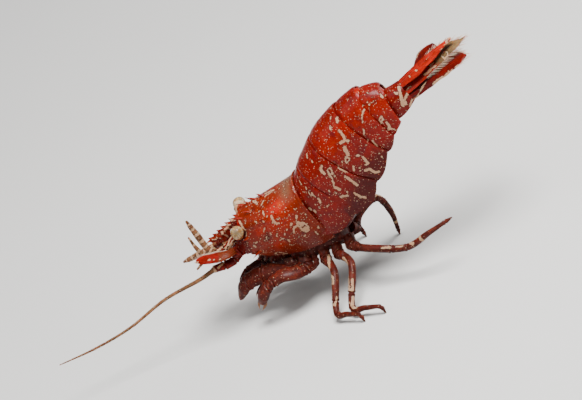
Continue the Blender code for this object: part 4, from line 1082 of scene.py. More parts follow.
def build_tail(sizes, colours):
    """Telson and the four blades beside it, each with its fringe."""
    tail = TailFrame()
    orange = vane_paint("telson shell", colours, sizes.wetness, colours.fan)
    red = vane_paint("blade shell", colours, sizes.wetness, tinted(colours.shell, 0.62))
    olive = vane_paint("clear blade", colours, sizes.wetness, colours.olive, tinted(colours.fan, 0.8))
    seta = sizes.seta_length / MM
    telson = Vane(tail, (GAP, 0.0, TELSON_RISE), (TELSON_SWING, TELSON_LENGTH, 0.0), TELSON_WIDTHS, 0.17,
                  (-0.45, 0.45), hidden=0.75, inner_reach=0.5)
    patch = Patch()
    telson.add(patch, VANE_MARKS["telson"])
    swing = math.tan(math.radians(TELSON_SWING))
    for side in SIDE_WORDS:
        for a, left, right, long in TELSON_SPINES:
            half = telson.half(min(a / TELSON_LENGTH, 0.95)) * (left if side < 0 else right)
            root = tail.place(a, a * swing + side * (half - 0.08), TELSON_RISE + 0.05)
            tip = tail.place(a + long, (a + long) * swing + side * (half + 0.2), TELSON_RISE + 0.12)
            add_spine(patch, root, tip, 0.06, mark=-0.03 if a > 5.0 else FAR, reach=0.9)
    patch.skin("telson", orange, "tail_fan")
    bristle = bristle_paint(colours)
    for side, word in SIDE_WORDS.items():
        near = side < 0
        inner = Vane(tail, (GAP, side * INNER_ROOT[0], INNER_ROOT[1]), INNER_VANES[side], INNER_WIDTHS, 0.11,
                     (0.0,), outside=side, inner_reach=1.0 if near else 0.25,
                     inner_rise=0.55 if near else 0.0)
        patch = Patch()
        inner.add(patch, VANE_MARKS.get(("inner", side), ()))
        patch.build(f"inner_blade_{word}", olive if near else red, "tail_fan", [f"uropod_{word}_inner"])
        coat = Patch()
        inner.fringe(coat, ((-1, 0.3, 0.995), (1, 0.3, 0.995)), seta, SEEDS["inner fringe"] + side)
        build_coat(coat, f"inner_fringe_{word}", bristle, "tail_fan")
        outer = Vane(tail, (GAP, side * OUTER_ROOT[0], OUTER_ROOT[1]), OUTER_VANES[side], OUTER_WIDTHS[side],
                     0.13, (0.0, side * 0.85), outside=side, inner_reach=1.3 if near else 0.3,
                     inner_rise=0.5 if near else 0.2)
        patch = Patch()
        stalk, run = curve_through([tail.place(a, side * w, n) for a, w, n in BLADE_STALK], 0.06)
        radius = table_at(STALK_RADII, run / run[-1])[:, 0]
        patch.tube(tube_grid(stalk, radius, 24, 0.75, tail.right)[0], mark=FAR, reach=0.1)
        outer.add(patch, VANE_MARKS.get(("outer", side), ()))
        tooth = [outer.place(np.array(t), np.array(side * v))[0] for t, v in ((0.78, 0.86), (0.9, 1.12))]
        add_spine(patch, *tooth, 0.1, mark=FAR, reach=0.8)
        patch.build(f"outer_blade_{word}", red, "tail_fan", [f"uropod_{word}_outer"])
        coat = Patch()
        outer.fringe(coat, ((-side, 0.25, 0.995), (side, 0.84, 0.995)), seta, SEEDS["outer fringe"] + side)
        build_coat(coat, f"outer_fringe_{word}", bristle, "tail_fan")


def bristle_paint(colours):
    """Pale horn, redder at the roots."""
    paint = Paint("bristle horn")
    tips = paint.step(paint.value("reach"), 0.0, 0.7)
    base = paint.mix(tips, tinted(colours.bristle, 0.55), colours.bristle)
    base = paint.mix(paint.step(paint.noise(6.0), 0.4, 0.7, 0.0, 0.5), base, colours.shell)
    return paint.finish(base, 0.4, 0.3, depth=0.4, spread=0.3)


STERNUM_ENDS = (2.35, 7.75)
STERNUM_DEPTH = 1.1
SKIRT = 0.15
ROOT_REACH = 0.55
LEG_ROOTS = {1: 3.5, 2: 4.45, 3: 5.4, 4: 6.35, 5: 7.28}

# x, distance from the midline and height above the floor of knees and feet
WALKING_KNOTS = {
    (3, -1): ((6.75, 3.6, 3.3), (6.2, 6.5, 0.95), (7.4, 7.4, 0.85), (8.6, 8.1, 0.8), (8.9, 8.3, 0.0)),
    (3, 1): ((4.7, 4.4, 4.6), (4.3, 6.9, 3.6), (4.2, 8.2, 1.6), (4.2, 8.5, 0.0)),
    (4, -1): ((8.55, 3.4, 3.45), (7.8, 6.5, 0.95), (9.2, 7.3, 0.85), (10.7, 7.9, 0.8), (11.0, 8.0, 0.0)),
    (4, 1): ((6.6, 4.4, 4.6), (6.8, 6.4, 3.3), (7.1, 7.3, 1.4), (7.2, 7.5, 0.0)),
    (5, -1): ((10.4, 2.5, 4.1), (14.1, 3.5, 3.4), (16.9, 3.9, 4.3), (19.6, 4.0, 5.1)),
    (5, 1): ((9.4, 3.0, 5.0), (11.0, 4.4, 5.2), (11.3, 5.4, 2.8), (10.9, 5.8, 0.0)),
}
# the joints of each walking leg as parts of its length
WALKING_JOINTS = {
    (3, -1): (0.1, 0.17, 0.55, 0.68, 0.93),
    (3, 1): (0.1, 0.17, 0.5, 0.62, 0.93),
    (4, -1): (0.1, 0.17, 0.52, 0.65, 0.93),
    (4, 1): (0.1, 0.17, 0.5, 0.62, 0.93),
    (5, -1): (0.08, 0.14, 0.42, 0.55, 0.93),
    (5, 1): (0.08, 0.14, 0.45, 0.58, 0.93),
}
WALKING_RADII = ((0.0, 0.56), (0.09, 0.52), (0.16, 0.38), (0.25, 0.37), (0.45, 0.35), (0.55, 0.32),
                 (0.7, 0.31), (0.9, 0.2), (0.95, 0.2), (1.0, 0.05))
CHELIPED_KNOTS = ((3.15, 2.4, 4.1), (1.6, 3.0, 4.5), (-0.3, 3.1, 3.7), (-1.9, 2.6, 1.5))
CHELIPED_RADII = ((0.0, 0.45), (0.14, 0.42), (0.35, 0.45), (0.58, 0.42), (0.68, 0.36), (0.76, 0.48),
                  (0.9, 0.55), (1.0, 0.4))
CHELIPED_FLATS = ((0.0, 1.6), (0.4, 1.9), (0.75, 1.4), (1.0, 1.2))
SLENDER_KNOTS = {
    -1: ((3.6, 0.95, 3.1), (2.0, 0.6, 3.2), (0.2, 0.6, 3.35), (-1.4, 0.7, 2.9), (-2.4, 0.8, 1.9)),
    1: ((3.6, 0.95, 3.1), (1.9, 0.6, 3.1), (0.1, 0.6, 3.1), (-1.3, 0.7, 2.5), (-2.1, 0.8, 1.4)),
}
SLENDER_RADII = ((0.0, 0.27), (0.4, 0.26), (0.75, 0.22), (0.88, 0.24), (1.0, 0.22))
SLENDER_JOINTS = (0.1, 0.2, 0.42, *np.arange(0.56, 0.85, 0.045), 0.87)
MAXILLIPED_KNOTS = ((1.75, 1.7, 4.1), (0.0, 1.25, 4.4), (-2.4, 1.0, 3.95), (-3.9, 0.8, 2.4))
MAXILLIPED_RADII = ((0.0, 0.4), (0.2, 0.42), (0.4, 0.45), (0.6, 0.45), (0.85, 0.38), (0.96, 0.2), (1.0, 0.05))

# Marks of the limbs: half-width, then places as distance from the root and round from the outer face
LIMB_MARKS = {
    (3, -1): (
        (0.15, ((1.08, -0.45), (2.88, 0.41))),
        (0.11, ((3.6, 0.51), (3.9, 0.2), (4.56, 0.1), (4.5, 0.5), (3.9, 0.51))),
        (0.06, ((5.04, 0.5), (5.76, 0.47))), (0.1, ((5.76, 0.47), (6.42, 0.47), (6.66, 0), (5.88, -0.19))),
        (0.12, ((7.38, 0.47), (7.5, 0.51))),
    ),
    (4, -1): (
        (0.21, ((2.39, 0.41), (3.35, 0.51))),
        (0.12, ((4.73, 0.4), (5.99, 0.21), (5.99, -0.21), (5.03, -0.1))), (0.1, ((7.24, 0.18),)),
        (0.17, ((6.71, -0.27), (7.6, -0.1), (8.44, -0.09))),
    ),
    ("antennule", -1): (
        (0.16, ((0.5, -0.5), (1.2, -0.3))), (0.13, ((1.8, 0.3), (2.4, 0.1))),
        (0.1, ((2.9, -0.4), (3.1, 0.4))), (0.09, ((0.3, 0.3), (1.5, -0.05))),
        (0.06, ((0.2, -0.05), (1.0, -0.15))), (0.06, ((1.2, 0.35), (1.9, 0.2))),
    ),
    ("antenna", -1): (
        (0.17, ((3.37, 0.21), (3.27, -0.21))), (0.1, ((3.37, 0.41), (2.62, 0.56))),
        (0.1, ((2.87, 0), (2.26, 0.27))),
    ),
    (5, -1): (
        (0.12, ((4.6, 0.1), (5.4, 0.05))), (0.08, ((6, 0), (6.8, 0.05))),
        (0.16, ((7.6, -0.1), (7.9, 0.2))), (0.14, ((8.9, -0.5), (8.9, 0.5))),
    ),
}


def sternum_outline(s):
    """(y, z) points round the underside of the thorax, left edge first."""
    top = -table_at(BODY_SECTIONS, s)[2] - GAP - SKIRT
    return [(-1.3, top), (-1.25, top - 0.35), (-0.5, top - STERNUM_DEPTH), (0.5, top - STERNUM_DEPTH),
            (1.25, top - 0.35), (1.3, top)]


def leg_root(s, side):
    """Start and direction of a limb on the slanted side of the sternum."""
    (y1, z1), (y2, z2) = sternum_outline(min(s, CARAPACE_LENGTH - 0.01))[1:3]
    away = unit(np.array((0.0, z2 - z1, y1 - y2)))
    away = -away if away[1] > 0 else away
    y, z = (y1 + y2) / 2 + away[1] * GAP, (z1 + z2) / 2 - abs(away[2]) * GAP
    _, right, up = body_axes(s)
    return on_body(s, -y * side, z), unit(right * (-away[1] * side) - up * abs(away[2]))


def limb_path(s, side, knots):
    """Even points from inside the sternum through the knots."""
    root, away = leg_root(s, side)
    return curve_through([root - away * 0.45, root, root + away * ROOT_REACH,
                          *((x, side * y, z) for x, y, z in knots)], 0.06)


def joint_relief(run, joints):
    """Swelling before and narrowing behind each joint, as a factor on the radius."""
    factor = np.ones_like(run)
    for joint in joints:
        off = run - joint * run[-1]
        factor *= 1.0 + 0.15 * bell(off, -0.1, 0.1) - 0.26 * bell(off, 0.05, 0.05)
        factor *= 1.0 + 0.08 * bell(off, 0.2, 0.1)
    return factor


def outward(side):
    """The direction of a limb's outer face."""
    return 0.32, side * 0.84, 0.43


def add_limb(patch, path, run, radii, joints, strokes, side, sides=22, flat=1.0, spines=(), shade=0.35):
    """A limb of several segments with marks and spines, each spine as place, turn, length and radius."""
    radius = table_at(radii, run / run[-1])[..., 0] * joint_relief(run, joints)
    grid, angle = tube_grid(path, radius, sides, flat, outward(side))
    round_off = rounded(angle)
    # Painted shade: the limb is darker on the faces turned away from its outer face
    inside = 0.5 * smooth((np.abs(round_off) - 1.2) / 1.2)
    patch.tube(grid, mark=stroke_distance(run[:, None], round_off * radius[:, None], strokes),
               shade=shade + inside, tan=0.0)
    ahead, across, over = carried_frames(path, outward(side))
    for place, turn, long, thick in spines:
        k = min(int(place * (len(path) - 1)), len(path) - 2)
        out = across[k] * math.cos(turn) + over[k] * math.sin(turn)
        root = path[k] + out * radius[k] * 0.7
        add_spine(patch, root, root + out * long * 0.55 + ahead[k] * long * 0.85, thick, shade=0.1)


def limb_paint(name, colours, wetness, light, depth=0.35):
    """Half-clear skin of a limb with specks, painted shade, dark pigment dots and cream marks."""
    paint = Paint(name)
    cloud, fine = paint.noise(0.9, 4.0, 0.6, 2.0), paint.noise(5.0, 3.0, 0.6, 6.0)
    base = paint.mix(paint.step(cloud, 0.38, 0.66), tinted(light, 0.6), light)
    base = paint.mix(paint.step(fine, 0.46, 0.72, 0.0, 0.6), base, tinted(light, 0.35))
    lichen = paint.step(paint.noise(2.3, 4.0, 0.7, 17.0), 0.5, 0.62)
    base = paint.lay(base, lichen, 0.5, tinted(light, 2.3, 3.6, 3.0))
    tan = paint.mix(paint.step(cloud, 0.4, 0.62), tinted(colours.feeler, 0.5), colours.feeler)
    base = paint.mix(paint.value("tan"), base, tan)
    # Painted shade: where the shade values are high, the skin turns to a dark maroon
    base = paint.mix(paint.step(paint.value("shade"), 0.3, 1.1), base, tinted(colours.shell_dark, 0.55))
    base = paint.lay(base, paint.dots(4.5, 0.15, 0.07), 0.65, colours.glow)
    base = paint.lay(base, paint.dots(3.4, 0.17, 0.07, spread=0.95), 0.7, colours.mark)
    base, cover = marked(paint, base, colours.mark, tinted(colours.shell_dark, 0.3), 0.045)
    paint.bump(paint.noise(12.0, 3.0, 0.65), 0.01)
    paint.bump(fine, 0.02)
    paint.bump(cover, 0.008)
    return paint.finish(base, paint.step(fine, 0.3, 0.8, 0.36, 0.5), wetness * 0.5, depth=depth, spread=0.4)


def claw(patch, path, wide, opening, side):
    """A palm's fixed and moving fingers at the end of a limb."""
    ahead = unit(path[-1] - path[-4])
    across = unit(np.cross(ahead, (0.0, side * 1.0, 0.2)))
    start = path[-1] - ahead * 0.12
    for turn, thick, long in ((-1, 0.6, 1.0), (1, 0.48, 0.95)):
        spread = across * turn
        reach = ahead * wide * 3.0 * long
        tip = start + reach + spread * wide * (0.1 + opening)
        root = start + spread * wide * 0.42 - ahead * 0.15
        add_spine(patch, root, tip, wide * thick, bend=spread * wide * 0.35, sides=14, shade=0.25)


def scatter_spines(count, start, end, long, thick, seed, turns=(-3.1, 3.1)):
    """Spines along a part of a limb: place, turn round the limb, length and radius."""
    draw = np.random.default_rng(seed)
    places = start + (end - start) * (np.arange(count) + 0.5) / count
    return [(place, draw.uniform(*turns), long * draw.uniform(0.75, 1.2), thick) for place in places]


def build_limbs(sizes, colours):
    """Maxillipeds, claws and legs."""
    brown = limb_paint("limb skin", colours, sizes.wetness, colours.limb)
    for side, word in SIDE_WORDS.items():
        path, run = limb_path(STERNUM_ENDS[0], side, MAXILLIPED_KNOTS)
        patch = Patch()
        spines = scatter_spines(34, 0.6, 0.985, 0.28, 0.035, SEEDS["maxilliped"] + side, (-2.4, 2.4))
        add_limb(patch, path, run, MAXILLIPED_RADII, (0.1, 0.5, 0.72), (), side, flat=1.9, spines=spines)
        patch.skin(f"maxilliped_{word}", brown)
        path, run = limb_path(LEG_ROOTS[1], side, CHELIPED_KNOTS)
        palm = run <= run[-1] * 0.86
        path, run = path[palm], run[palm]
        patch = Patch()
        add_limb(patch, path, run, CHELIPED_RADII, (0.1, 0.2, 0.62, 0.72), (), side,
                 flat=table_at(CHELIPED_FLATS, run / run[-1])[:, 0],
                 spines=scatter_spines(8, 0.25, 0.7, 0.2, 0.05, SEEDS["cheliped"] + side))
        claw(patch, path, 0.42, 0.15, side)
        patch.skin(f"cheliped_{word}", brown)
        path, run = limb_path(LEG_ROOTS[2], side, SLENDER_KNOTS[side])
        palm = run <= run[-1] * 0.93
        patch = Patch()
        add_limb(patch, path[palm], run[palm], SLENDER_RADII, SLENDER_JOINTS, (), side)
        claw(patch, path[palm], 0.2, 0.2, side)
        patch.skin(f"leg_2_{word}", brown)
        for number in (3, 4, 5):
            path, run = limb_path(LEG_ROOTS[number], side, WALKING_KNOTS[number, side])
            joints = WALKING_JOINTS[number, side]
            spines = scatter_spines(3, joints[1] + 0.1, joints[2] - 0.02, 0.3, 0.055,
                                    SEEDS["leg spines"] + number, (0.4, 1.6))
            spines += scatter_spines(16, joints[3] + 0.03, joints[4], 0.16, 0.03,
                                     SEEDS["leg bristles"] + number, (0.6, 2.6))
            spines += scatter_spines(6, joints[4] + 0.01, 0.985, 0.1, 0.022,
                                     SEEDS["toe bristles"] + number, (0.9, 2.2))
            patch = Patch()
            add_limb(patch, path, run, WALKING_RADII, joints, LIMB_MARKS[number, -1], side, spines=spines)
            patch.skin(f"leg_{number}_{word}", brown)


# s, distance from the midline, length and radius of the inner mouthparts
MOUTHPARTS = ((-0.2, 0.42, 1.1, 0.3), (0.35, 0.62, 1.15, 0.34), (0.85, 0.72, 1.1, 0.36),
              (1.35, 0.62, 1.1, 0.34), (0.1, 0.2, 1.0, 0.26), (1.0, 0.28, 1.15, 0.3))
# their curve: further back, part of that distance, further down, and down as a part of the length
MOUTHPART_CURVE = ((0.25, 0.8, 0.05, 0.0), (0.1, 1.15, 0.5, 0.0), (-0.25, 1.0, 0.55, 0.45),
                   (-0.6, 0.55, 0.5, 0.62))
PLEOPOD_RADII = ((0.0, 0.22), (0.25, 0.26), (0.5, 0.3), (0.85, 0.22), (1.0, 0.05))


def build_underside(sizes, colours):
    """Sternum with the first segments of the legs, inner mouthparts and swimming feet."""
    brown = limb_paint("underside skin", colours, sizes.wetness, tinted(colours.limb, 0.9))
    rings = []
    for s in np.arange(STERNUM_ENDS[0], STERNUM_ENDS[1] + 0.01, 0.07):
        inside = min(s, CARAPACE_LENGTH - 0.01)
        outline = sternum_outline(inside)
        roof = outline[0][1] + 0.8
        y, z = even_loop(np.array(outline + [(1.1, roof), (-1.1, roof)]), 40)
        beat = 0.07 * math.cos((s - LEG_ROOTS[1]) / 0.95 * math.tau)
        ends = min(1.0, (0.35 + (s - STERNUM_ENDS[0]) * 2), (0.35 + (STERNUM_ENDS[1] - s) * 2))
        middle = z.mean()
        place = on_body(inside, y * (1 + beat) * ends, middle + (z - middle) * (1 + beat) * ends)
        rings.append(place + body_axes(s)[0] * max(s - CARAPACE_LENGTH, 0.0))
    patch = Patch()
    patch.tube(np.array(rings)[:, ::-1], mark=FAR, shade=0.7)
    patch.skin("sternum", brown)
    patch = Patch()
    for side in SIDE_WORDS:
        for k, (s, y, long, wide) in enumerate(MOUTHPARTS):
            flank = table_at(BODY_SECTIONS, s)[2]
            path, run = curve_through([on_body(s + back, side * y * out, -flank - down - long * share)
                                       for back, out, down, share in MOUTHPART_CURVE], 0.05)
            radii = ((0.0, wide * 0.7), (0.35, wide), (0.8, wide * 0.6), (1.0, 0.06))
            add_limb(patch, path, run, radii, (0.3, 0.68), (), side, sides=16, flat=0.7,
                     spines=scatter_spines(7, 0.6, 0.97, 0.16, 0.03, SEEDS["mouthparts"] + k))
    patch.skin("mouthparts", brown)
    for number in range(1, 6):
        s = (SOMITE_ENDS[number - 1] + SOMITE_ENDS[number]) / 2
        _, width, flank, belly = table_at(BODY_SECTIONS, s)
        for side, word in SIDE_WORDS.items():
            reach = flank - belly - 0.35
            t = np.linspace(-0.25, 1.0, 7)
            knots = on_body(s - 0.1 + 0.5 * t * t, side * 0.25 * width, -belly - GAP - reach * t)
            path, run = curve_through(knots, 0.06)
            patch = Patch()
            add_limb(patch, path, run, PLEOPOD_RADII, (0.35,), (), side, sides=18, flat=0.6,
                     spines=scatter_spines(22, 0.5, 0.97, 0.2, 0.022, SEEDS["pleopods"] + number))
            patch.skin(f"pleopod_{number}_{word}", brown)


EYE_PLACES = {-1: (-0.15, 2.7, 0.5), 1: (-0.68, 2.78, 0.55)}
EYE_RADIUS = 0.62
EYE_SEAT = 52.0  # degrees below the eye's middle where its stalk begins
EYE_GOLD = (0.55, 0.31, 0.1)
EYE_BROWN = (0.2, 0.085, 0.018)
EYE_BLACK = (0.05, 0.03, 0.025)
STALK_BROWN = (0.2, 0.035, 0.008)
STALK_SHAPE = ((0.0, 0.46), (0.2, 0.5), (0.42, 0.38), (0.7, 0.45), (0.9, 0.57), (1.0, 0.54))
# half-width, then start and end as part of the stalk's length and distance round from its outer face
STALK_MARKS = (
    (0.16, 0.3, -0.48, 0.97, -0.55), (0.16, 0.35, 0.48, 0.97, 0.55), (0.16, 0.6, -1.104, 0.97, -1.265),
    (0.16, 0.5, 1.056, 0.97, 1.21), (0.16, 0.75, 1.488, 0.97, 1.705), (0.07, 0.96, -1.9, 0.96, 1.9),
    (0.13, 0.25, 1.2, 0.9, 1.35), (0.13, 0.25, -1.3, 0.9, -1.2),
)


def build_eyes(sizes, colours):
    """Stalks and eyes."""
    stalk_shell = limb_paint("stalk skin", colours, sizes.wetness, STALK_BROWN)
    glass = Paint("eye facets")
    turn, polar = glass.value("turn"), glass.value("polar")
    wander = glass.times(glass.noise(1.6, 1.0), 0.9)
    rays = glass.math("SINE", glass.times(glass.math("ADD", turn, wander), 11.0))
    base = glass.mix(glass.step(polar, 0.0, 1.3), tinted(colours.eye, 0.45), colours.eye)
    gold = glass.times(glass.step(rays, -0.2, 1.0), glass.step(polar, 0.2, 0.8, 0.1, 0.6))
    base = glass.mix(gold, base, EYE_GOLD)
    base = glass.mix(glass.step(polar, 1.5, 1.8, 0.0, 0.8), base, colours.mark)
    base = glass.mix(glass.step(glass.noise(3.0, 3.0, 0.6, 8.0), 0.5, 0.6, 0.0, 0.75), base, EYE_BROWN)
    base = glass.mix(glass.step(glass.noise(5.0, 3.0, 0.6, 2.0), 0.55, 0.75, 0.0, 0.6), base, EYE_BLACK)
    glass.bump(glass.cells(16.0, spread=0.15), 0.006)
    glass.finish(base, 0.22, 0.6, depth=0.35, spread=0.4)
    for side, word in SIDE_WORDS.items():
        s, y, z = EYE_PLACES[side]
        middle = on_body(s, side * y, z)
        root = on_body(-0.8, side * 1.1, -0.5)
        ahead = unit(middle - root)
        seat = middle - ahead * EYE_RADIUS * math.sin(math.radians(EYE_SEAT))
        path, run = curve_through([root, root + (seat - root) * 0.35, root + (seat - root) * 0.7,
                                   seat + ahead * 0.08], 0.035)
        patch = Patch()
        strokes = [(half, ((run[-1] * start, near), (run[-1] * end, far))) for half, start, near, end, far in
                   STALK_MARKS]
        add_limb(patch, path, run, STALK_SHAPE, (0.28,), strokes, side, sides=36, shade=0.1)
        patch.skin(f"eyestalk_{word}", stalk_shell, "shell")
        angle = np.radians(np.linspace(-EYE_SEAT - 6, 89.0, 46))
        centre = middle + ahead * (EYE_RADIUS * np.sin(angle) * np.where(angle > 0, 1.0, 0.96))[:, None]
        grid, around = tube_grid(centre, EYE_RADIUS * np.cos(angle), 60, side=(1.0, 0.0, 0.0))
        patch = Patch()
        patch.tube(grid, turn=around, polar=np.broadcast_to((np.pi / 2 - angle)[:, None], around.shape))
        patch.build(f"eye_{word}_glass", glass.material, "eyes", [f"eye_{word}"])


# places ahead of the sockets, beside the midline and above the hinge line
ANTENNULE_STEM = ((1.3, 0.6, -0.95), (1.65, 0.62, -1.0), (2.4, 0.8, -1.35), (3.4, 0.86, -1.55),
                  (4.2, 0.85, -1.6))
OUTER_FLAGELLA = {
    -1: ((3.9, 0.82, -1.52), (4.35, 0.8, -0.8), (4.55, 0.75, 0.9), (4.75, 0.7, 2.6)),
    1: ((3.9, 0.82, -1.52), (5.0, 0.85, -1.75), (6.6, 1.0, -2.0), (8.2, 1.2, -2.2)),
}
INNER_FLAGELLA = {
    -1: ((3.9, 0.85, -1.6), (4.85, 1.0, -1.2), (5.1, 1.2, -0.2), (5.2, 1.25, 1.2)),
    1: ((3.9, 0.85, -1.6), (4.8, 0.55, -2.0), (5.8, 0.45, -2.5), (6.9, 0.5, -3.1)),
}
SCALE_SPANS = {
    -1: ((1.4, 1.2, -1.72), (1.65, 1.3, -1.72), (2.5, 2.15, -1.5), (3.9, 2.35, -1.2), (5.4, 2.2, -0.85)),
    1: ((1.4, 1.2, -1.72), (1.65, 1.3, -1.72), (2.5, 2.1, -1.6), (3.9, 2.2, -1.6), (5.3, 2.0, -1.65)),
}
ANTENNA_STEM = ((1.3, 0.9, -2.4), (1.65, 1.0, -2.45), (2.6, 1.6, -2.68), (3.5, 1.85, -2.6),
                (4.4, 1.95, -2.52))
# world x, distance from the midline and height
ANTENNA_SWEEPS = {
    -1: ((-5.9, 2.35, 6.6), (-9.7, 3.0, 6.15), (-13.8, 3.8, 4.95), (-17.5, 4.7, 4.55), (-21.1, 5.8, 4.7)),
    1: ((-6.0, 2.9, 6.1), (-6.6, 4.3, 5.6), (-4.8, 5.8, 5.4), (-0.5, 6.9, 5.4), (4.5, 7.4, 5.3),
        (9.0, 7.2, 5.2)),
}
FACE_EDGE = ((-0.26, 0.6), (-0.34, -0.1), (-0.6, -0.25), (-1.0, -0.55), (-1.38, -1.2), (-1.48, -2.0),
             (-1.2, -2.7), (-0.45, -2.9))
FACE_MIDDLE = -1.6  # height of the face's middle
ANTENNULE_RADII = ((0.0, 0.33), (0.3, 0.37), (0.6, 0.35), (1.0, 0.34))
OUTER_RADII = ((0.0, 0.3), (0.55, 0.33), (0.85, 0.25), (1.0, 0.1))
INNER_RADII = ((0.0, 0.23), (0.55, 0.22), (1.0, 0.09))
SCALE_WIDTHS = ((0.0, 0.26), (0.15, 0.45), (0.5, 0.68), (0.85, 0.56), (0.95, 0.34), (1.0, 0.06))
SCALE_ROOT_RED = (0.12, 0.02, 0.005)
ANTENNA_RADII = ((0.0, 0.33), (0.3, 0.4), (0.6, 0.42), (1.0, 0.36))
BASE_LUMP = ((0.7, 0.95, -1.8), (1.3, 1.2, -1.95), (1.8, 1.45, -2.1), (2.25, 1.65, -2.2))
BASE_RADII = ((0.0, 0.5), (0.5, 0.58), (0.85, 0.42), (1.0, 0.15))
SWEEP_RADII = ((0.0, 0.31), (0.03, 0.23), (0.25, 0.17), (0.8, 0.12), (1.0, 0.05))


def head_curve(knots, side, spacing=0.05):
    """Even points through places ahead of the sockets, beside the midline and above the hinge line."""
    return curve_through([on_body(-a, side * y, z) for a, y, z in knots], spacing)


def rings_relief(run, pitch, depth):
    """A factor on the radius for the fine rings of a feeler."""
    return 1.0 - depth * bell((run / pitch) % 1.0, 0.5, 0.16)


def banded(run, pitch, share, start, seed):
    """Strokes right round a feeler at uneven steps."""
    draw = np.random.default_rng(seed)
    strokes, at = [], start
    while at < run[-1]:
        strokes.append((pitch * share * draw.uniform(0.35, 0.6), ((at, -1.6), (at, 1.6))))
        at += pitch * draw.uniform(0.75, 1.35)
    return strokes


def add_feeler(patch, path, run, radii, pitch, strokes, side):
    """A finely ringed, tan feeler."""
    radius = table_at(radii, run / run[-1])[..., 0] * rings_relief(run, pitch, 0.075)
    grid, angle = tube_grid(path, radius, 18, side=outward(side))
    patch.tube(grid, mark=stroke_distance(run[:, None], rounded(angle) * radius[:, None], strokes), shade=0.2,
               tan=0.85)


def build_head(sizes, colours):
    """Face, feeler stems, scales and feelers."""
    shell = shell_paint("face shell", colours, sizes.wetness, tinted(colours.shell, 0.8),
                        colours.shell_dark)
    stem_skin = limb_paint("stem skin", colours, sizes.wetness, tinted(colours.shell, 0.7))
    tan = limb_paint("feeler skin", colours, sizes.wetness, colours.feeler, depth=0.45)
    scale_shell = vane_paint("scale shell", colours, sizes.wetness * 0.5, tinted(colours.shell, 1.2),
                             SCALE_ROOT_RED)
    bristle = bristle_paint(colours)
    y, z = even_loop(np.array([*FACE_EDGE, *((-y, z) for y, z in reversed(FACE_EDGE))]), 80)
    rear = 0.7 * smooth(-z / 3.0) + GAP
    rings = []
    for t in np.linspace(-1.6, 1.0, 46):
        shrink = 1.04 - 0.08 * max(t, 0.0) - 0.5 * smooth((t - 0.72) / 0.28) ** 2
        shrink = shrink * (1.0 - 0.06 * bell(t, 0.35, 0.1))
        ahead = rear + t * (1.45 - rear) if t > 0 else rear + t * 0.9
        rings.append(on_body(-ahead, y * shrink, FACE_MIDDLE + (z - FACE_MIDDLE) * shrink))
    patch = Patch()
    patch.tube(np.array(rings), mark=FAR, shade=0.5, glow=0.0, band=0.0)
    patch.skin("face", shell, "shell")
    for side, word in SIDE_WORDS.items():
        patch = Patch()
        path, run = head_curve(ANTENNULE_STEM, side)
        strokes = LIMB_MARKS.get(("antennule", side), ())
        add_limb(patch, path, run, ANTENNULE_RADII, (0.5, 0.78), strokes, side, shade=0.2,
                 spines=((0.48, 0.9, 0.4, 0.08), (0.76, 0.9, 0.35, 0.07), (0.3, 1.3, 0.7, 0.1)))
        for knots, radii, pitch in ((OUTER_FLAGELLA[side], OUTER_RADII, 0.17),
                                    (INNER_FLAGELLA[side], INNER_RADII, 0.15)):
            path, run = head_curve(knots, side, 0.03)
            bands = banded(run, 0.7, 0.34, 0.5, SEEDS["feeler bands"] + side)
            add_feeler(patch, path, run, radii, pitch, bands, side)
        patch.skin(f"antennule_{word}", stem_skin)
        path, run = head_curve(SCALE_SPANS[side], side)
        along, across, over = carried_frames(path, (0.0, side * 0.94, -0.34))
        half = table_at(SCALE_WIDTHS, run / run[-1])
        v = np.linspace(-1.0, 1.0, 31)
        body = 0.13 * (1 - 0.8 * np.abs(v) ** 2.5) + 0.07 * bell(v, 0.72, 0.1) + 0.015 * np.cos(v * 22)
        taper = smooth((1.02 - run / run[-1]) * 5)[:, None, None]
        middle = path[:, None] + across[:, None] * (half * v)[..., None]
        top = middle + over[:, None] * body[None, :, None] * taper
        under = middle - over[:, None] * 0.09 * taper * (1 - 0.7 * v[None, :, None] ** 2)
        off = there_and_back(half * v)
        reach = np.broadcast_to((run / run[-1])[:, None], off.shape)
        patch = Patch()
        patch.tube(np.concatenate([top, under[:, ::-1]], axis=1), reach=reach,
                   mark=stroke_distance(run[:, None], off, VANE_MARKS.get(("scale", side), ())))
        corner = path[-8] + across[-8] * half[-8] * 0.7
        add_spine(patch, corner, path[-1] + across[-1] * 0.25 + along[-1] * 0.15, 0.12, mark=-0.03, reach=0.9)
        patch.skin(f"antennal_scale_{word}", scale_shell, "tail_fan")
        coat = Patch()
        draw = np.random.default_rng(SEEDS["scale fringe"] + side)
        for k in range(20, len(path) - 1):
            root = path[k] - across[k] * half[k] * 0.96
            out = unit(-across[k] * 0.6 + along[k] * 0.9)
            long = 0.42 * draw.uniform(0.8, 1.15)
            add_bristle(coat, root - out * 0.04, root + out * long, 0.028, over[k] * 0.05,
                        (0.3 + 0.2 * side, 0.1 + 0.8 * k / len(path)))
        build_coat(coat, f"scale_fringe_{word}", bristle, "tail_fan")
        patch = Patch()
        path, run = head_curve(ANTENNA_STEM, side)
        add_limb(patch, path, run, ANTENNA_RADII, (0.35, 0.66), LIMB_MARKS.get(("antenna", side), ()), side,
                 shade=0.2, spines=((0.33, -0.9, 0.5, 0.09),))
        add_limb(patch, *head_curve(BASE_LUMP, side), BASE_RADII, (0.45,), (), side, shade=0.2,
                 spines=((0.75, 2.2, 0.35, 0.08),))
        patch.skin(f"antenna_{word}", stem_skin)
        path, run = curve_through([path[-1] - unit(path[-1] - path[-2]) * 0.1,
                                   *((x, side * y, z) for x, y, z in ANTENNA_SWEEPS[side])], 0.05)
        patch = Patch()
        specks = scattered(60, (0.4, run[-1]), (-0.5, 0.5), (0.02, 0.05), SEEDS["feeler specks"] + side)
        add_feeler(patch, path, run, SWEEP_RADII, 0.22, specks, side)
        patch.skin(f"antenna_flagellum_{word}", tan, "feelers")


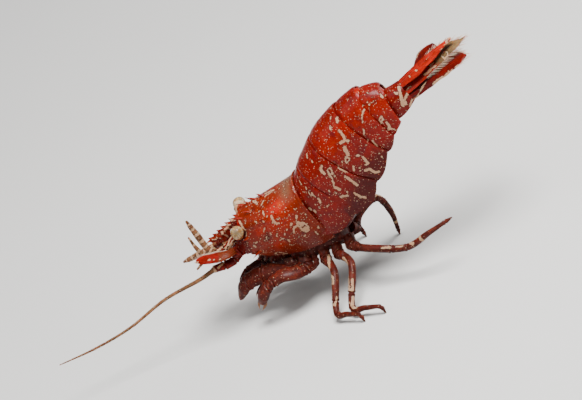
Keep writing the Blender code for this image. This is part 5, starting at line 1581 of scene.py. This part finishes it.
def build_stage(stage, colours):
    """Floor, soft lights, backdrop light and camera."""
    scene = bpy.context.scene
    mesh = bpy.data.meshes.new("floor")
    corners = [(x * FLOOR_REACH, y * FLOOR_REACH, 0) for x, y in ((-1, -1), (1, -1), (1, 1), (-1, 1))]
    mesh.from_pydata(corners, [], [(0, 1, 2, 3)])
    paint = Paint("floor plaster")
    base = paint.mix(paint.noise(0.02, 4.0), tinted(colours.floor, 0.94), colours.floor)
    paint.feed(paint.shader.inputs["Base Color"], base)
    paint.shader.inputs["Roughness"].default_value = 0.85
    mesh.materials.append(paint.material)
    floor = bpy.data.objects.new("floor", mesh)
    scene.collection.objects.link(floor)
    azimuth, elevation, roll = (math.radians(v) for v in (VIEW_AZIMUTH, VIEW_ELEVATION, VIEW_ROLL))
    toward = Vector((math.sin(azimuth) * math.cos(elevation), -math.cos(azimuth) * math.cos(elevation),
                     math.sin(elevation)))
    level = Vector((math.cos(azimuth), math.sin(azimuth), 0.0))
    upright = toward.cross(level)
    right = level * math.cos(roll) - upright * math.sin(roll)
    up = level * math.sin(roll) + upright * math.cos(roll)
    sockets = Vector((on_body(0.0, 0.0, SOCKET_TOP) - ORIGIN) * MM)
    across = (FRAME_SIZE[0] / 2 - SOCKET_PIXEL[0]) / PIXELS_PER_MM * MM
    rise = (SOCKET_PIXEL[1] - FRAME_SIZE[1] / 2) / PIXELS_PER_MM * MM
    target = sockets + right * across + up * rise
    camera = bpy.data.objects.new("camera", bpy.data.cameras.new("camera"))
    scene.collection.objects.link(camera)
    camera.matrix_world = Matrix((
        (right.x, up.x, toward.x, 0.0), (right.y, up.y, toward.y, 0.0), (right.z, up.z, toward.z, 0.0),
        (0.0, 0.0, 0.0, 1.0)))
    camera.location = target + toward * stage.camera_distance
    camera.data.sensor_width = SENSOR_WIDTH
    camera.data.lens = SENSOR_WIDTH * stage.camera_distance / (FRAME_SIZE[0] / PIXELS_PER_MM * MM)
    camera.data.clip_start = 0.01
    camera.data.clip_end = 10.0
    scene.camera = camera
    middle = Vector((0.0, 0.0, 0.01))
    for name, direction, distance, breadth, power in (
            ("key", up * 1.0 + toward * 0.9 - right * 0.15, 0.22, 0.12, stage.key_power),
            ("fill", right * -1.0 + toward * 0.6 + Vector((0, 0, 0.3)), 0.3, 0.25, stage.fill_power),
            ("rim", right * 1.0 + up * 0.7 - toward * 0.5, 0.25, 0.1, stage.fill_power)):
        lamp = bpy.data.objects.new(name, bpy.data.lights.new(name, "AREA"))
        lamp.data.shape = "DISK"
        lamp.data.size = breadth
        lamp.data.energy = power
        spot = middle + direction.normalized() * distance
        lamp.location = (spot.x, spot.y, max(spot.z, LAMP_LOWEST))
        lamp.rotation_mode = "QUATERNION"
        lamp.rotation_quaternion = (lamp.location - middle).to_track_quat("Z", "Y")
        scene.collection.objects.link(lamp)
    world = bpy.data.worlds.new("studio")
    world.use_nodes = True
    background = world.node_tree.nodes["Background"]
    background.inputs["Color"].default_value = (0.95, 0.97, 1.0, 1.0)
    background.inputs["Strength"].default_value = 0.2
    scene.world = world


class SHRIMP_OT_carapace(bpy.types.Operator):
    """Build the carapace with its rostrum and spines"""

    bl_idname = "shrimp.carapace"
    bl_label = "Carapace"

    def execute(self, context):
        build_carapace(context.scene.shrimp_sizes, context.scene.shrimp_colours)
        return {"FINISHED"}


class SHRIMP_OT_abdomen(bpy.types.Operator):
    """Build the rings of the abdomen"""

    bl_idname = "shrimp.abdomen"
    bl_label = "Abdomen"

    def execute(self, context):
        build_abdomen(context.scene.shrimp_sizes, context.scene.shrimp_colours)
        return {"FINISHED"}


class SHRIMP_OT_tail(bpy.types.Operator):
    """Build the telson, the blades beside it and their fringes"""

    bl_idname = "shrimp.tail"
    bl_label = "Tail fan"

    def execute(self, context):
        build_tail(context.scene.shrimp_sizes, context.scene.shrimp_colours)
        return {"FINISHED"}


class SHRIMP_OT_underside(bpy.types.Operator):
    """Build the sternum, mouthparts and swimming feet"""

    bl_idname = "shrimp.underside"
    bl_label = "Underside"

    def execute(self, context):
        build_underside(context.scene.shrimp_sizes, context.scene.shrimp_colours)
        return {"FINISHED"}


class SHRIMP_OT_limbs(bpy.types.Operator):
    """Build the maxillipeds, claws and legs"""

    bl_idname = "shrimp.limbs"
    bl_label = "Limbs"

    def execute(self, context):
        build_limbs(context.scene.shrimp_sizes, context.scene.shrimp_colours)
        return {"FINISHED"}


class SHRIMP_OT_eyes(bpy.types.Operator):
    """Build the eyes and their stalks"""

    bl_idname = "shrimp.eyes"
    bl_label = "Eyes"

    def execute(self, context):
        build_eyes(context.scene.shrimp_sizes, context.scene.shrimp_colours)
        return {"FINISHED"}


class SHRIMP_OT_head(bpy.types.Operator):
    """Build the face, scales and feelers"""

    bl_idname = "shrimp.head"
    bl_label = "Head"

    def execute(self, context):
        build_head(context.scene.shrimp_sizes, context.scene.shrimp_colours)
        return {"FINISHED"}


class SHRIMP_OT_stage(bpy.types.Operator):
    """Build the floor, lights and camera"""

    bl_idname = "shrimp.stage"
    bl_label = "Stage"

    def execute(self, context):
        build_stage(context.scene.shrimp_stage, context.scene.shrimp_colours)
        return {"FINISHED"}


STEPS = (SHRIMP_OT_carapace, SHRIMP_OT_abdomen, SHRIMP_OT_tail, SHRIMP_OT_underside, SHRIMP_OT_limbs,
         SHRIMP_OT_eyes, SHRIMP_OT_head, SHRIMP_OT_stage)


class SHRIMP_PT_panel(bpy.types.Panel):
    """Sizes, colours and steps of the shrimp."""

    bl_label = "Blade shrimp"
    bl_space_type = "VIEW_3D"
    bl_region_type = "UI"
    bl_category = "Shrimp"

    def draw(self, context):
        for group in (context.scene.shrimp_sizes, context.scene.shrimp_colours, context.scene.shrimp_stage):
            box = self.layout.box()
            for key in group.bl_rna.properties.keys():
                if key not in ("rna_type", "name"):
                    box.prop(group, key)
        for step in STEPS:
            self.layout.operator(step.bl_idname)


CLASSES = (ShrimpSizes, ShrimpColours, ShrimpStage, *STEPS, SHRIMP_PT_panel)
GROUPS = {"shrimp_sizes": ShrimpSizes, "shrimp_colours": ShrimpColours, "shrimp_stage": ShrimpStage}


def register():
    for item in CLASSES:
        bpy.utils.register_class(item)
    for key, group in GROUPS.items():
        setattr(bpy.types.Scene, key, bpy.props.PointerProperty(type=group))


def unregister():
    for key in GROUPS:
        delattr(bpy.types.Scene, key)
    for item in reversed(CLASSES):
        bpy.utils.unregister_class(item)


def main():
    register()
    for step in STEPS:
        category, name = step.bl_idname.split(".")
        getattr(getattr(bpy.ops, category), name)()


if __name__ == "__main__":
    main()
